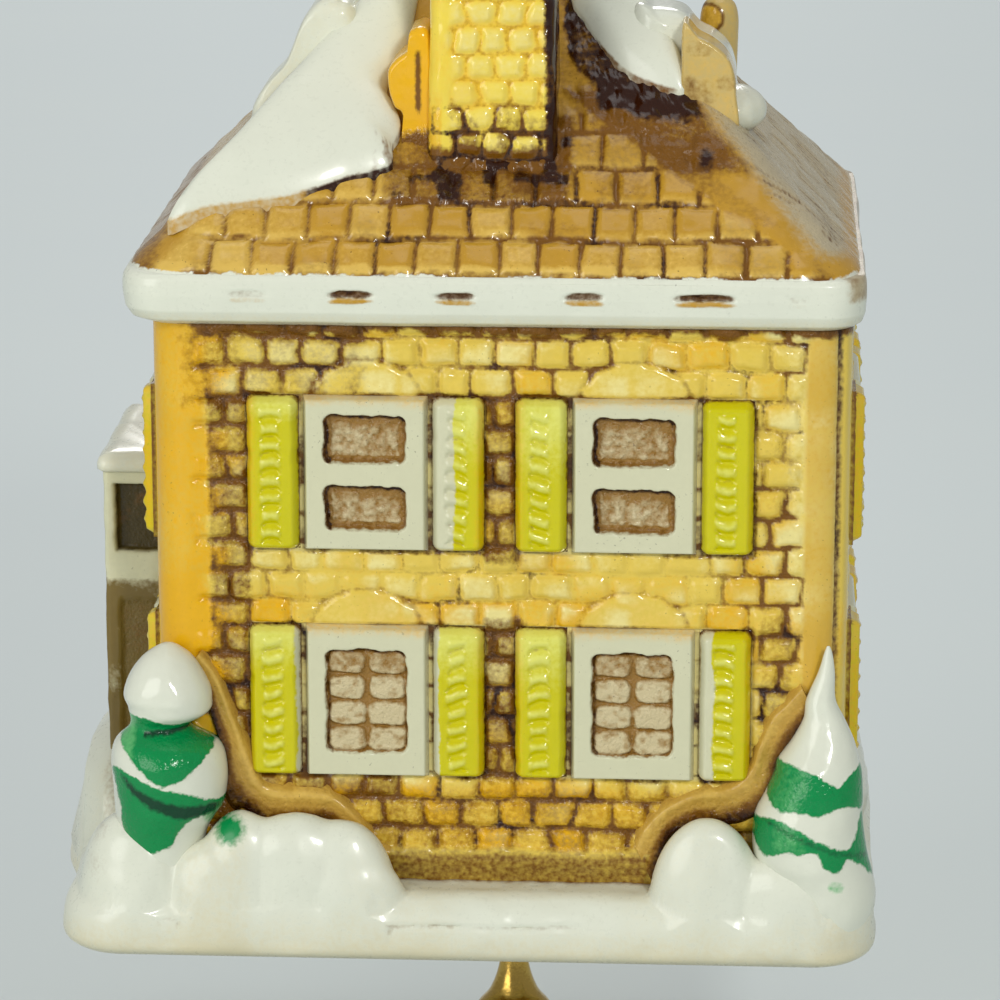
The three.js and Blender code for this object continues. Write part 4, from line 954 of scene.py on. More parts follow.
    # Lighter lower edges of the tiles: painted highlight
    tile_edge_highlight = (1 - step(0.05, 0.3, up)) * 0.9 * noise(along, z, 1.5, 133)
    left_gold = 0.55 * (1 - step(-22, -12, x)) + 0.2 * (1 - fade_left)
    deep_joint = joint * step(0.45, 0.85, noise(along, z, 2.2, 120)) * 0.7
    bare_edge = 1 - step(0.28, 0.42, z - EAVE_TOP + 0.12 * rough(along, z, 1.1, 134))
    masks = {
        "gold": tiled * (1 - taupe) * (tile_edge_highlight + 0.5 * step(0.4, 0.9, tone))
        + lip * on_front * (x < 15) + on_front * left_gold * (1 - left_hip),
        "taupe": taupe * (0.85 + 0.3 * noise(along, z, 2.5, 117)) + left_hip * 0.9,
        "wash": left_hip * 0.5 * grime + tiled * joint * (0.4 + 0.4 * grime + 0.25 * step(-16, -6, x))
        + messy * (0.36 + 0.42 * grime) + 0.85 * streak
        + 0.35 * on_front * step(54, 60, z + 2 * grime) * step(-7, -3, x) * (1 - taupe)
        + 0.3 * tiled * step(0.5, 0.9, noise(along, z, 2.4, 119))
        + 0.5 * corner + 0.6 * left_end + 0.25 * ochre,
        "snow": bare_edge * (1 - 0.8 * corner),
        "dark": tiled * deep_joint * (1 - 0.5 * taupe) * step(-17, -8, x)
        + under_snow * (0.5 + 0.75 * grime) + speckled * step(0.6, 0.8, grime) * 0.8
        + by_chimney * step(0.62, 0.85, noise(along, z, 1.1, 116)) * 0.8 + streak * 0.5,
        "grit": np.clip(0.5 * speckled + 0.4 * by_chimney + 0.5 * taupe - under_snow, 0, 1),
    }
    masks = {label: np.pad(values + 0 * x, ((len(inner), 0), (0, 0))) for label, values in masks.items()}
    piece("tiled_roof", np.concatenate([inner, outer]), "tile_glaze", "roof_shell", masks)


def soft_top(depth, power=6.0):
    """The profile of a snow patch: depth * (1 - r^power)^0.8, thinner where the noise is low."""

    def profile(r, x, y):
        lumps = 1 + 0.2 * rough(x, y, 6, 130)
        return depth * lumps * np.clip(1 - r**power, 0, None) ** 0.8 / SLOPE + 0.5

    return profile


def build_roof_snow():
    """The patches of snow on the roof and the small heap against the right dormer."""
    depth = sizes().snow_depth * MM
    left = [(-24.0, -18.5), (-20.8, -18.0), (-18, -17.7), (-15.6, -17.4), (-13.1, -16.8), (-11.2, -16.2),
            (-9.4, -15.8), (-8.0, -15.3), (-8.0, -14.2), (-7.5, -13), (-7.9, -12), (-8.6, -11), (-8.4, -9.8),
            (-7.3, -8.7), (-7.0, -6), (-6.8, -2.8), (-9.5, -2.9), (-14.2, -7.6), (-17, -10.6),
            (-19.3, -13.4), (-21.5, -15.9), (-23.8, -18.1)]
    right = [(4.3, -2.9), (4.4, -5.0), (5.2, -6), (6.1, -7.2), (7, -8.2), (8.2, -9.2), (9.6, -9.9),
             (11.3, -10.4), (12.7, -10.5), (12.9, -9.4), (12.4, -8), (11, -6), (9.5, -4.5), (7, -2.9)]
    back = [(-8.5, 2.9), (-11.6, 4.9), (-15.4, 8.8), (-15.9, 12.1), (-12.2, 13.2), (-8, 11), (-3.2, 12.8),
            (2.1, 11.4), (6.3, 13.6), (10.5, 12.3), (9.5, 7.5), (5.8, 2.9)]
    ridge = [(-8.6, 0), (-6.4, -2.6), (0, -2.5), (5.2, -2.6), (7.4, 0), (5.2, 2.6), (0, 2.5), (-6.4, 2.6)]
    patches = (
        ("left_roof_snow", left, (-13.6, -12.2), depth, "roof_snow_left"),
        ("right_roof_snow", right, (8.6, -6.9), depth * 0.9, "roof_snow_right"),
        ("back_roof_snow", back, (-2.4, 7.4), depth * 0.9, "roof_snow_back"),
        ("ridge_cap_snow", ridge, (-0.6, 0), depth * 0.85, "ridge_snow"),
    )
    for name, outline, centre, thick, node in patches:
        loops = heap(outline, centre, soft_top(thick), roof_height)
        x, y, _ = np.moveaxis(loops, -1, 0)
        hem = 1 - step(0.0, 0.16, np.abs(np.linspace(0, 2, len(loops)) - 1)[:, None])
        by_shoulder = between(-8.8, -5.5, x, 0.8) * between(-17.5, -14.6, y, 0.5)
        masks = {
            "cream": 0.3 * hem,
            "wash": hem * step(0.3, 0.7, noise(x, y, 2.2, 131)) * (x > -15) * 0.8
            + 0.6 * by_shoulder * step(0.5, 0.62, noise(x, y, 0.4, 136)),
            "tan": hem * (x < -14) * (y < -14) * 0.7,
            # A dark line along the lower hem of the left patch: painted shadow under the snow's edge
            "dark": hem * between(-13.5, -6, x, 1) * (y < -14) * 0.8,
        }
        piece(name, loops, "snow_glaze", node, masks)
    left, right, front, back, foot, top = extent("dormer_snow")
    angle = np.linspace(0, np.pi, 40)[:, None]
    turn = np.linspace(0, 2 * np.pi, 60, endpoint=False)[None]
    lump = 1 + 0.12 * rough(turn * 2, angle, 1.5, 132) * np.sin(angle)
    x = left + (right - left) * 0.95 * np.sin(angle) * np.cos(turn) * lump
    y = (front + back) / 2 + (back - front) / 2 * np.sin(angle) * np.sin(turn) * lump
    z = (foot + top) / 2 + (top - foot) * 0.55 * np.cos(angle) * lump
    masks = {"cream": 0.2, "wash": (1 - step(foot, foot + 0.8, z)) * 0.6}
    piece("dormer_heap", loops_of(x, y, z), "snow_glaze", "dormer_snow", masks)


def build_chimney():
    """The chimney: bricks in relief on a tapered shaft, and the snowy slab that caps it."""
    foot, top = EAVE_TOP + 2, extent("chimney")[5]
    outline = outline_of("chimney", 0.9)
    z = np.linspace(foot, top + 0.2, 120)
    outlines = np.stack([grown(outline, -0.1 - 0.5 * (level - foot) / (top - foot)) for level in z])
    outlines[:, 4] = 0.9
    x, y, angle = ring(outlines, (64, 40, 24, 40), 8)
    z = z[:, None] + 0 * x
    along = np.where(np.abs(np.sin(angle))[None] > 0.7, x, y)
    pillow, joint, _ = bricks(along + 0.4, z - 0.2, 2.1, 1.85, 7, 0.6)
    front = (np.sin(angle) < -0.9)[None]
    keep = front * between(-3.4 + 0.8 * rough(z, z, 3, 146), 2.7, x, 0.7)
    height = 0.3 * pillow * keep + 0.22 * (1 - keep) + 0.1 * rough(along, z, 1.2, 140)
    x, y = pushed(x, y, angle, height)
    low = 1 - step(58.8, 62.4, z + 1.6 * rough(along, z, 1.6, 141))
    # The right face in dark brown: painted shade with dark wash
    right_side = step(0.1, 0.6, np.cos(angle))[None] + 0 * x
    left_foot = (x < -4.4) * (1 - step(60, 63, z))
    masks = {
        "gold": 0.55 * joint * keep + 0.2 * step(0.6, 0.9, noise(along, z, 2.4, 142)) + 0.7 * left_foot,
        # Lighter upper bricks and light flecks on the lower bricks: painted highlights
        "pale": pillow * keep * (0.5 * step(60, 66, z) + 0.7 * low * noise(along, z, 1.0, 147)),
        "wash": low * (0.55 + 0.6 * joint) * keep * step(0.1, 0.5, noise(along, z, 1.3, 143))
        + 0.3 * joint * keep + right_side
        + 0.9 * (1 - step(57.6, 58.8, z + 0.6 * rough(along, z, 0.9, 139))),
        "dark": low * joint * 0.7 + right_side * (0.6 + 0.7 * noise(y, z, 2, 144)),
        "grit": low * 0.2,
    }
    piece("brick_chimney", loops_of(x, y, z), "chimney_glaze", "chimney", masks)
    rounds = [(-0.45, 0), (-0.1, 0.25), (-0.05, 0.7), (-0.2, 1.1), (-0.6, 1.4), (-1.5, 1.5)]
    low_z, high_z = extent("chimney_cap")[4:]
    x, y, z, angle = lid(outline_of("chimney_cap", 0.9), rounds, low_z, high_z, (30, 26, 30, 26))
    x = x + 0.15 * rough(y, x, 2.5, 145) * np.cos(angle)
    piece("chimney_snow", loops_of(x, y, z), "snow_glaze", "chimney_cap")


def slab(outline, front, back, soft):
    """Loops of an upright outline of (x, z) points carried from front to back, with rounded edges."""
    outline = np.array(outline)
    middle = outline.mean(0)
    reach = np.mean(np.hypot(*(outline - middle).T))
    turn = np.linspace(np.pi / 2, 0, 6)
    curve = [(soft * (1 - np.sin(a)), 1 - soft / reach * (1 - np.cos(a))) for a in turn]
    flat = [(0, share * curve[0][1]) for share in np.linspace(0.05, 0.95, 14)]
    near = flat + curve
    depths = [(front + y, share) for y, share in near]
    depths += [(y, 1.0) for y in np.linspace(front + soft, back - soft, 8)[1:-1]]
    depths += [(back - y, share) for y, share in near[::-1]]
    y, share = (np.array(part)[:, None] for part in zip(*depths))
    x = middle[0] + (outline[:, 0] - middle[0]) * share
    z = middle[1] + (outline[:, 1] - middle[1]) * share
    return np.stack([x, y + 0.1 * rough(x, z, 1.5, 148) * (share < 0.95), z], -1)


def build_roof_fixtures():
    """The shoulder beside the chimney, the two dormers and the small round stack."""
    left, right, front, back, foot, top = extent("chimney_shoulder")
    seat = roof_height(left, front) - 1
    shoulder = spline(
        [(right + 0.7, seat), (right + 0.7, top - 2.2), (right - 0.7, top - 1.5), (right - 1.0, top - 2.9),
         (left + 0.9, top - 3.6), (left + 0.35, top - 4.4), (left + 0.4, top - 5.8), (left + 0.8, top - 7.0),
         (left + 1.4, top - 7.7), (left + 1.4, seat)], 110)
    loops = slab(shoulder, front - 0.1, back, 0.5)
    x, _, z = np.moveaxis(loops, -1, 0)
    low = 1 - step(seat + 1.2, seat + 2.4, z + 0.8 * rough(x, z, 1.2, 149))
    groove = bell(x - right + 0.2, 0.22) * between(foot + 1.6, top - 3.2, z, 0.6)
    masks = {"wash": low * 0.9 + groove * 1.1, "grit": low}
    piece("chimney_side", loops, "shoulder_glaze", "chimney_shoulder", masks)

    left, right, front, back, foot, top = extent("dormer_right")
    foot_right = (right - 0.1, foot - 2)
    crown = [(right - 0.05, foot + 1.5), (right - 0.2, foot + 2.9), (right - 0.7, foot + 4.1),
             (right - 1.7, foot + 5.0), (right - 2.8, foot + 5.6)]
    inner_side = [(right - 3.9, foot + 6.5), (right - 4, foot + 3), (right - 4, foot - 1)]
    loops = slab(spline([foot_right, *crown, *inner_side], 120), front, front + 4, 0.35)
    x, y, z = np.moveaxis(loops, -1, 0)
    # A pale line along the top of the cheek's front face, painted in the snow colour: a painted highlight
    rim = (y > front + 0.04) * (y < front + 0.5) * step(61.5, 63.0, z + 0.8 * (x - 14.5))
    low = (1 - step(61.5, 63.5, z + 0.6 * rough(x, z, 1.5, 152))) * (1 - step(13, 16, x))
    mottled = step(0.5, 0.8, noise(x, z, 1.2, 153))
    masks = {"wash": 0.45 * low + 0.3 * mottled, "gold": 0.15, "snow": rim * 0.3}
    piece("dormer_cheek", loops, "dormer_glaze", "dormer_right", masks)

    rear = [(right - 4, top - 0.4), (right - 6, top - 0.1), (left + 0.4, top - 0.4), (left + 0.1, foot)]
    loops = slab(spline([foot_right, *crown, *rear], 130), front + 2.4, back, 1.5)
    masks = {"wash": (1 - step(foot, foot + 1.0, loops[..., 2])) * 0.4, "snow": 1}
    piece("right_dormer", loops, "dormer_glaze", "dormer_right", masks)

    left, right, front, back, foot, top = extent("rear_stack")
    centre = ((left + right) / 2, (front + back) / 2)
    radius = (right - left) / 2 - 0.03
    knob = spline(
        [(radius * 0.9, foot - 1), (radius * 0.95, foot + 1), (radius, top - 3), (radius, top - 1.6),
         (radius * 0.82, top - 0.6), (radius * 0.4, top - 0.1), (0.05, top)], 40, closed=False)
    loops = turned(knob, centre)
    x, y, z = np.moveaxis(loops, -1, 0)
    spot = np.hypot(x - centre[0] + 0.7, z - top + 1.5) + 10 * (y > centre[1])
    face = 1 - step(0.8, 1.1, spot)
    masks = {"gold": face * 0.7 + 0.15, "wash": bell(spot - 1.0, 0.14) * 0.8 + face * 0.3}
    piece("round_stack", loops, "dormer_glaze", "rear_stack", masks)

    left, right, front, back, foot, top = extent("dormer_left")
    hump = spline(
        [(left + 0.1, foot - 2), (left + 0.05, foot + 0.2), (left + 0.35, foot + 1.2),
         (left + 1.1, foot + 2.4), (left + 2.4, foot + 3.8), (left + 3.0, foot + 5.0),
         (left + 3.7, foot + 6.8), (left + 4.4, top - 0.9), (left + 5.4, top - 0.15),
         (right - 1.4, top - 0.2), (right - 0.2, top - 1.6), (right - 0.1, foot)], 140)
    loops = slab(hump, front, back, 1.0)
    masks = {"cream": 0.3 * noise(loops[..., 0], loops[..., 2], 2, 150)}
    piece("left_dormer", loops, "snow_glaze", "dormer_left", masks)


def frame_relief(u, z, half, panes, foot, top, lattice):
    """A window frame with rounded edges and sunk panes, u from its middle.

    Returns the height and the masks of the panes, of their bright tops and of the brown round them.
    """
    edge = np.minimum(half - np.abs(u), np.minimum(z - foot, top - z))
    height = 1.0 * step(-0.02, 0.3, edge) + 0.04 * rough(u, z, 1.5, 160)
    sunk, glint, shade = np.zeros_like(u), np.zeros_like(u), np.zeros_like(u)
    for left, right, low, high in panes:
        across, up = np.minimum(u - left, right - u), np.minimum(z - low, high - z)
        inside = rounded(across, up, 0.6) + 0.22 * rough(u, z, 1.1, 161)
        pane = step(-0.06, 0.16, inside)
        if lattice:
            pitch_x, pitch_z = (right - left) / 2, (high - low) / 4
            du = np.abs((u - left) / pitch_x % 1 - 0.5) * 2.2
            dz = np.abs((z - low) / pitch_z % 1 - 0.5) * 2.2
            cushion = 1 - step(0.84, 1.12, (du**4 + dz**4) ** 0.25 + 0.16 * rough(u, z, 0.7, 166))
            height = height - pane * (0.75 - 0.36 * cushion - 0.08 * noise(u, z, 0.4, 168))
            fade = 1 - step(low + 5.0, high - 0.8, z)
            shine = cushion * (0.45 + 0.45 * fade) * (0.5 + 0.8 * noise(u, z, 0.4, 167))
        else:
            grain = noise(u, z, 0.3, 163)
            height = height - pane * (0.82 - 0.2 * grain - 0.12 * step(0.4, 0.8, inside))
            lower = 1 - step((low + high) / 2 + 0.2, high - 0.5, z)
            shine = step(0.35, 0.6, inside) * (0.3 + 0.4 * grain) * (0.35 + 0.75 * lower)
        glint = np.maximum(glint, pane * shine)
        # Painted shade along each pane's edge, darkest at its top and left sides
        deep = (high - z < 0.55) | (u - left < 0.5)
        line = step(-0.12, 0.05, inside) * (1 - step(0.2, 0.42, inside)) * (0.75 if lattice else 1)
        shade = np.maximum(shade, line * np.where(deep, 1.0, 0.55))
        sunk = np.maximum(sunk, pane)
    return height, sunk, glint, shade


def shutter_relief(u, z, half, foot, top, hand):
    """A shutter: a pillow with a wavy edge and scooped louvres down its middle, u from its middle.

    Returns the height, the distance to the edge, and the scoops as 1 in a gap and -1 on a bar.
    """
    across, up = half - np.abs(u), np.minimum(z - foot, top - z)
    wobble = 0.12 * rough(z, u * 0 + hand, 1.2, 170 + hand)
    edge = np.minimum(rounded(across, up, 0.7), across + wobble)
    height = 1.25 * np.sqrt(step(-0.05, 0.55, edge)) + 0.05 * rough(u, z, 1.4, 171)
    pitch = (top - foot - 1.1) / sizes().louvres
    arc = 0.14 * np.cos(u * 2 + hand)
    row = (z - foot - 0.7) / pitch + 0.2 * rough(u, z, 1.6, 172) - arc
    rise = row - np.floor(row)
    reach = 0.82 * (0.85 + 0.3 * cell_value(np.floor(row), 0 * u, 174 + hand))
    column = (1 - step(reach - 0.3, reach, np.abs(u + 0.1))) * between(foot + 0.7, top - 0.9, z, 0.2)
    bar, gap = bell(rise - 0.5, 0.2), bell(np.minimum(rise, 1 - rise), 0.15)
    return height + (0.16 * bar - 0.24 * gap) * column, edge, column * (gap - bar)


def panes_of(floor, half, foot):
    """Panes as left, right, low and high: two in an upper window, one tall one in a lower window."""
    side = half * 0.66
    if floor == "upper":
        return [(-side, side, foot + 1.6, foot + 4.9), (-side, side, foot + 6.5, foot + 10.1)]
    return [(-side, side, foot + 1.9, foot + 9.7)]


# Paint on each front shutter: the bare strip, its side, the reach of the pale head, gold at the outer edge
SHUTTER_PAINT = {
    ("upper", "left", "left"): (0.0, 0, 0.1, 0.7),
    ("upper", "left", "right"): (0.42, -1, 0.45, 0.5),
    ("upper", "right", "left"): (0.0, 1, 0.55, 0.5),
    ("upper", "right", "right"): (0.0, 0, 0.0, 0.1),
    ("lower", "left", "left"): (0.12, 1, 0.25, 0.1),
    ("lower", "left", "right"): (0.12, -1, 0.3, 0.3),
    ("lower", "right", "left"): (0.0, 1, 0.4, 0.5),
    ("lower", "right", "right"): (0.26, -1, 0.0, 0.3),
}


def front_frame(floor, column):
    """The frame of a front window, with its sunk panes."""
    name = f"front_{floor}_{column}"
    left, right, _, _, foot, top = extent(f"{name}_frame")
    middle, half = (left + right) / 2, (right - left) / 2
    u, z = grid(-half, half, 96, foot, top, 120)
    panes = panes_of(floor, half, foot)
    height, sunk, glint, shade = frame_relief(u, z, half, panes, foot, top, floor == "lower")
    masks = {
        "gold": step(top - 0.9, top, z + 0.5 * rough(u, z, 2, 164)) * 0.35,
        "pane": sunk,
        "glint": glint,
        "wash": shade * 0.8 + 0.25 * (1 - step(0.0, 0.35, half - np.abs(u))),
        "dark": step(0.5, 0.9, shade) * (0.45 + 0.5 * noise(u, z, 1.0, 165)),
        "grit": sunk,
    }
    plate(f"{name}_casing", middle + u, z, height, -0.4, wall_face("front"), "frame_glaze",
          f"{name}_frame", masks)


def front_shutter(floor, column, side):
    """A louvred shutter of a front window, with its own touches of paint."""
    name = f"front_{floor}_{column}"
    left, right, _, _, foot, top = extent(f"{name}_shutter_{side}")
    middle, half = (left + right) / 2, (right - left) / 2
    u, z = grid(-half, half, 34, foot, top, 100)
    seed = (side == "right") + 2 * (column == "right") + 4 * (floor == "lower")
    height, edge, scoop = shutter_relief(u, z, half, foot, top, seed)
    bare, bare_side, pale, gold = SHUTTER_PAINT[floor, column, side]
    outer = -1 if side == "left" else 1
    across = bare_side * u / half + 0.2 * rough(u, z, 2.5, 180 + seed)
    strip = step(1 - 2 * bare - 0.12, 1 - 2 * bare + 0.12, across) * (bare > 0)
    head = step(top - (top - foot) * pale - 1, top, z) * (pale > 0)
    flecks = np.clip(scoop, 0, 1) * (noise(u, z, 1.4, 183) > 0.65)
    masks = {
        # Pale paint on the head; the pale marks on the louvre bars are painted highlights
        "faint": head * (0.55 + 0.5 * noise(u, z, 1.5, 181)) + 0.7 * np.clip(-scoop, 0, 1),
        "gold": gold * step(0.45, 1.0, outer * u / half) * (0.6 + 0.6 * noise(z, u, 2.5, 182)),
        "bare": strip,
        "wash": (1 - step(0.0, 0.18, edge)) * 0.8 + 0.3 * flecks,
        "dark": (1 - step(-0.02, 0.1, edge)) * 0.6,
    }
    plate(f"{name}_blind_{side}", middle + u, z, height, -0.4, wall_face("front"), "shutter_glaze",
          f"{name}_shutter_{side}", masks)


def build_front_windows():
    """The four front windows: a frame and two shutters each, set on the front wall."""
    for floor in ("upper", "lower"):
        for column in ("left", "right"):
            front_frame(floor, column)
            for side in ("left", "right"):
                front_shutter(floor, column, side)


def casement(side, floor, column):
    """A window of another wall: frame and shutters in one plate, u from its middle."""
    node = f"{side}_{floor}_{column}_window"
    left, right, front, back, foot, top = extent(node)
    low, high = {"back": (-right, -left), "right": (front, back), "left": (-back, -front)}[side]
    middle, half = (low + high) / 2, (high - low) / 2
    casing = half * (0.546 if half > 6 else 0.477)
    u, z = grid(-half, half, 96, foot, top, 72)
    panes = panes_of(floor, casing, foot)
    height, sunk, glint, shade = frame_relief(u, z, casing, panes, foot, top, floor == "lower")
    blind = (half - casing) / 2
    from_blind = np.abs(u) - casing - blind
    beside, edge, _ = shutter_relief(from_blind, z, blind, foot, top, 3 if floor == "upper" else 5)
    is_blind = np.abs(u) > casing
    height = np.where(is_blind, np.maximum(beside, 0.6), 0.62 + 0.4 * np.clip(height, 0, 1))
    masks = {
        "green": is_blind * 1.0,
        "faint": is_blind * step(top - 5, top, z) * 0.5,
        "gold": is_blind * (0.35 + 0.4 * noise(u, z, 3, 184)) * (side != "back"),
        "pane": sunk * ~is_blind,
        "glint": glint * ~is_blind,
        "wash": np.where(is_blind, (1 - step(0, 0.2, edge)) * 0.8, shade * 0.8),
        "dark": shade * 0.5 * ~is_blind,
        "grit": sunk * ~is_blind,
    }
    plate(f"{side}_{floor}_{column}_casement", middle + u, z, height, -0.4, wall_face(side), "frame_glaze",
          node, masks)


def build_other_windows():
    """The windows of the end walls and the back: frame and shutters in one relief plate."""
    for side in ("back", "right", "left"):
        for floor in ("upper", "lower"):
            for column in ("left", "right") if side == "back" else ("front", "rear"):
                casement(side, floor, column)


def build_banks():
    """The earth banks: a rounded ridge along each crest, falling to a darker lower border."""
    left = [(-21.8, 22.0), (-20.6, 20.2), (-19.9, 18.3), (-19.2, 16.4), (-18.5, 14.1), (-17.6, 12.2),
            (-16.3, 11.5), (-13.8, 11.4), (-12, 11), (-10.5, 9.7), (-9.1, 7.8), (-8.1, 7.0)]
    left_foot = [(-22.5, 21.2), (-21.2, 18.7), (-20.8, 17.1), (-20.0, 14.5), (-19.8, 11.3), (-18.4, 10.3),
                 (-17.1, 9.4), (-15.3, 9.2), (-12.9, 9.6), (-11.4, 8.6), (-10.0, 6.6), (-9.0, 5.0)]
    right = [(10.1, 7.6), (10.6, 8.9), (11.7, 10.3), (13.1, 11.3), (14.6, 11.9), (16.4, 12.1), (17.8, 12.9),
             (18.6, 14.1), (19, 15.6), (19.9, 17.7), (20.9, 18.8), (21.9, 20.0)]
    right_foot = [(11.2, 5.1), (11.6, 6.9), (12.2, 8.6), (13.4, 9.6), (14.8, 10.0), (17.1, 10.0),
                  (19.3, 11.2), (20.0, 12.6), (20.4, 14.5), (21.3, 16.4), (22.1, 17.5), (22.8, 18.3)]
    for side, points, foot in (("left", left, left_foot), ("right", right, right_foot)):
        crest = spline(points, 170, closed=False)[:, None]
        border = spline(foot, 170, closed=False)[:, None]
        t = np.concatenate([np.linspace(-0.5, 1, 40), [1.15, 1.4]])[None, :, None]
        spot = crest + (border - crest) * t
        u, z = spot[..., 0], np.maximum(spot[..., 1], LEDGE - 0.5)
        t = t[..., 0] + 0 * u
        fall = step(-0.5, -0.1, t) * (1 - step(1.0, 1.35, t))
        ridge = bell(t + 0.02, 0.2)
        height = -0.3 + fall * (1.1 + 0.2 * ridge) + 0.16 * rough(u, z, 1.4, 190) * fall
        height = height * between(u.min() + 0.2, u.max() - 0.2, u, 0.6)
        crumbs = fall * (noise(u, z, 0.9, 194) > 0.7)
        masks = {
            # A pale crest: painted highlight, with pale crumbs
            "pale": ridge * (0.15 + 0.6 * noise(u, z, 1.4, 191)) + 0.25 * crumbs,
            "wash": step(0.25, 0.7, t) * (0.6 + 0.5 * noise(u, z, 1.2, 195)),
            # Darker towards the lower border and along the upper edge: painted shade
            "dark": step(0.5, 0.95, t) * (0.4 + 0.6 * noise(u, z, 1.5, 192)) + 0.35 * step(-0.2, -0.45, t),
            "grit": (1 - ridge) * 0.7,
        }
        plate(f"{side}_bank", u, z, height, -0.5, wall_face("front"), "earth_glaze",
              f"bank_{side}", masks)


def build_bay():
    """The enclosed side bay: a panelled foot, a glazed upper part and a snowy lid."""
    parts = (("bay_panels", "bay_foot", "bay_brown"), ("bay_lights", "bay_windows", "trim_white"))
    for name, node, slot in parts:
        left, right, front, back, foot, top = extent(node)
        outline = np.array([left + 0.15, right + 0.6, front + 0.15, back - 0.15, 0.35])
        z = np.linspace(foot - 0.3, top + 0.1, 60)
        x, y, angle = ring(np.repeat(outline[None], 60, 0), (36, 10, 36, 96), 6)
        z = z[:, None] + 0 * x
        end = np.abs(np.sin(angle))[None] > 0.7
        along = np.where(end, x - (left + right) / 2, y)
        half = np.where(end, (right - left) / 2, (back - front) / 2)
        wide = half > 4
        cell = np.where(wide, np.abs(np.abs(along) - half / 2), np.abs(along))
        reach = np.where(wide, half / 2, half)
        glazed = node == "bay_windows"
        if glazed:
            low, high, post, depth = foot + 1.7, foot + 6.9, 1.0, 0.9
        else:
            low, high, post, depth = foot + 2, top - 2, 1.2, 0.35
        inside = np.minimum(reach - post - cell, np.minimum(z - low, high - z))
        sunk = step(-0.1, 0.25, inside + 0.15 * rough(along, z, 1.3, 200))
        x, y = pushed(x, y, angle, -sunk * depth + 0.1 * rough(along, z, 1.8, 201))
        flecks = 0.25 * step(0.4, 0.7, noise(along, z, 2, 202))
        masks = {
            "pale": 1 - sunk if glazed else (1 - sunk) * flecks + 0.8 * step(top - 0.7, top - 0.2, z),
            "pane": sunk * glazed,
            "wash": sunk * 0.35 * noise(along, z, 1.5, 203),
            "grit": sunk * 0.5,
        }
        piece(name, loops_of(x, y, z), "bay_glaze", node, masks)
    left, right, front, back, foot, top = extent("bay_roof")
    rounds = [(-0.3, 0.0), (0, 0.2), (0, 0.6), (-0.15, 1.0), (-0.6, 1.3), (-1.4, 1.4)]
    outline = np.array([left, right + 0.7, front, back, 0.8])
    x, y, z, _ = lid(outline, rounds, foot, top, (24, 20, 24, 60))
    z[2:] = z[2:] + 0.25 * rough(x[2:], y[2:], 3, 204)
    masks = {"cream": 0.4 * noise(x, y, 3, 205)}
    piece("bay_snow", loops_of(x, y, z), "snow_glaze", "bay_roof", masks)


def left_tree_paint(u, v, x, z):
    """Masks of the green, its shadows and its thin places on the left tree."""
    high = blot([(-27.3, 17.6), (-25.6, 18.0), (-23.2, 17.6), (-20.9, 17.3), (-20.6, 15.8), (-21.7, 14.5),
                 (-22.6, 13.8), (-24.1, 13.6), (-25.3, 14.2), (-26.6, 15.2), (-27.5, 16.4)], u, v, 0.25)
    low = blot([(-27.9, 14.2), (-24.9, 13.5), (-22.5, 12.7), (-20.7, 12.1), (-19.6, 11.8), (-20.7, 10.9),
                (-21.9, 10.8), (-22.9, 9.7), (-23.7, 8.4), (-25.3, 7.9), (-26.6, 8.4), (-27.3, 9.9),
                (-27.3, 11.7)], u, v, 0.25)
    spot = blot([(-21.2, 11.0), (-20, 11.6), (-19.2, 10.6), (-19.6, 9.2), (-20.6, 8.9)], u, v, 0.3)
    shadow = blot([(-24.5, 11.3), (-21.0, 10.9), (-20.3, 11.7), (-22.4, 11.8), (-24.5, 12.3), (-27.3, 13.9)],
                  u, v, 0.3)
    shadow = shadow + bell(z - 16.9 - 0.1 * (x + 24), 0.22) * (x > -25.5)
    thin = np.maximum(0.75 * spot, high * (1 - step(-26.6, -25.8, x)) * 0.8)
    return np.maximum(high, low), shadow, thin


def right_tree_paint(u, v, x, z):
    """Masks of the green, its shadows and its thin places on the right tree."""
    high = blot([(19.6, 15.0), (22.2, 14.9), (24.1, 14.0), (24.6, 13.8), (26.2, 14.9), (26.6, 12.9),
                 (26.4, 11.8), (25.2, 12.3), (23.5, 11.8), (21.9, 12.0), (19.6, 12.2)], u, v, 0.22)
    low = blot([(18.0, 10.7), (19.7, 11.3), (21.3, 11.0), (23.2, 9.9), (25.2, 9.1), (25.9, 9.9), (26.1, 11.2),
                (26.7, 11.8), (27.5, 8.6), (27.6, 6.0), (26.8, 6.9), (26.2, 8.0), (25.2, 8.5), (24.6, 7.7),
                (23.6, 8.2), (22.8, 9.3), (20.8, 9.1), (19.4, 8.5), (18.4, 9.6)], u, v, 0.22)
    spot = blot([(23.9, 6.9), (24.9, 6.8), (24.9, 6.2), (24.1, 6.2)], u, v, 0.2)
    green = np.maximum(high, low)
    shadow = 0.5 * low * bell(z - 10.9 + 0.4 * (x - 20), 0.3)
    thin = 0.6 * spot + 0.5 * between(20, 22, x, 0.5) * green * noise(x, z, 1.4, 214)
    return green, shadow, thin


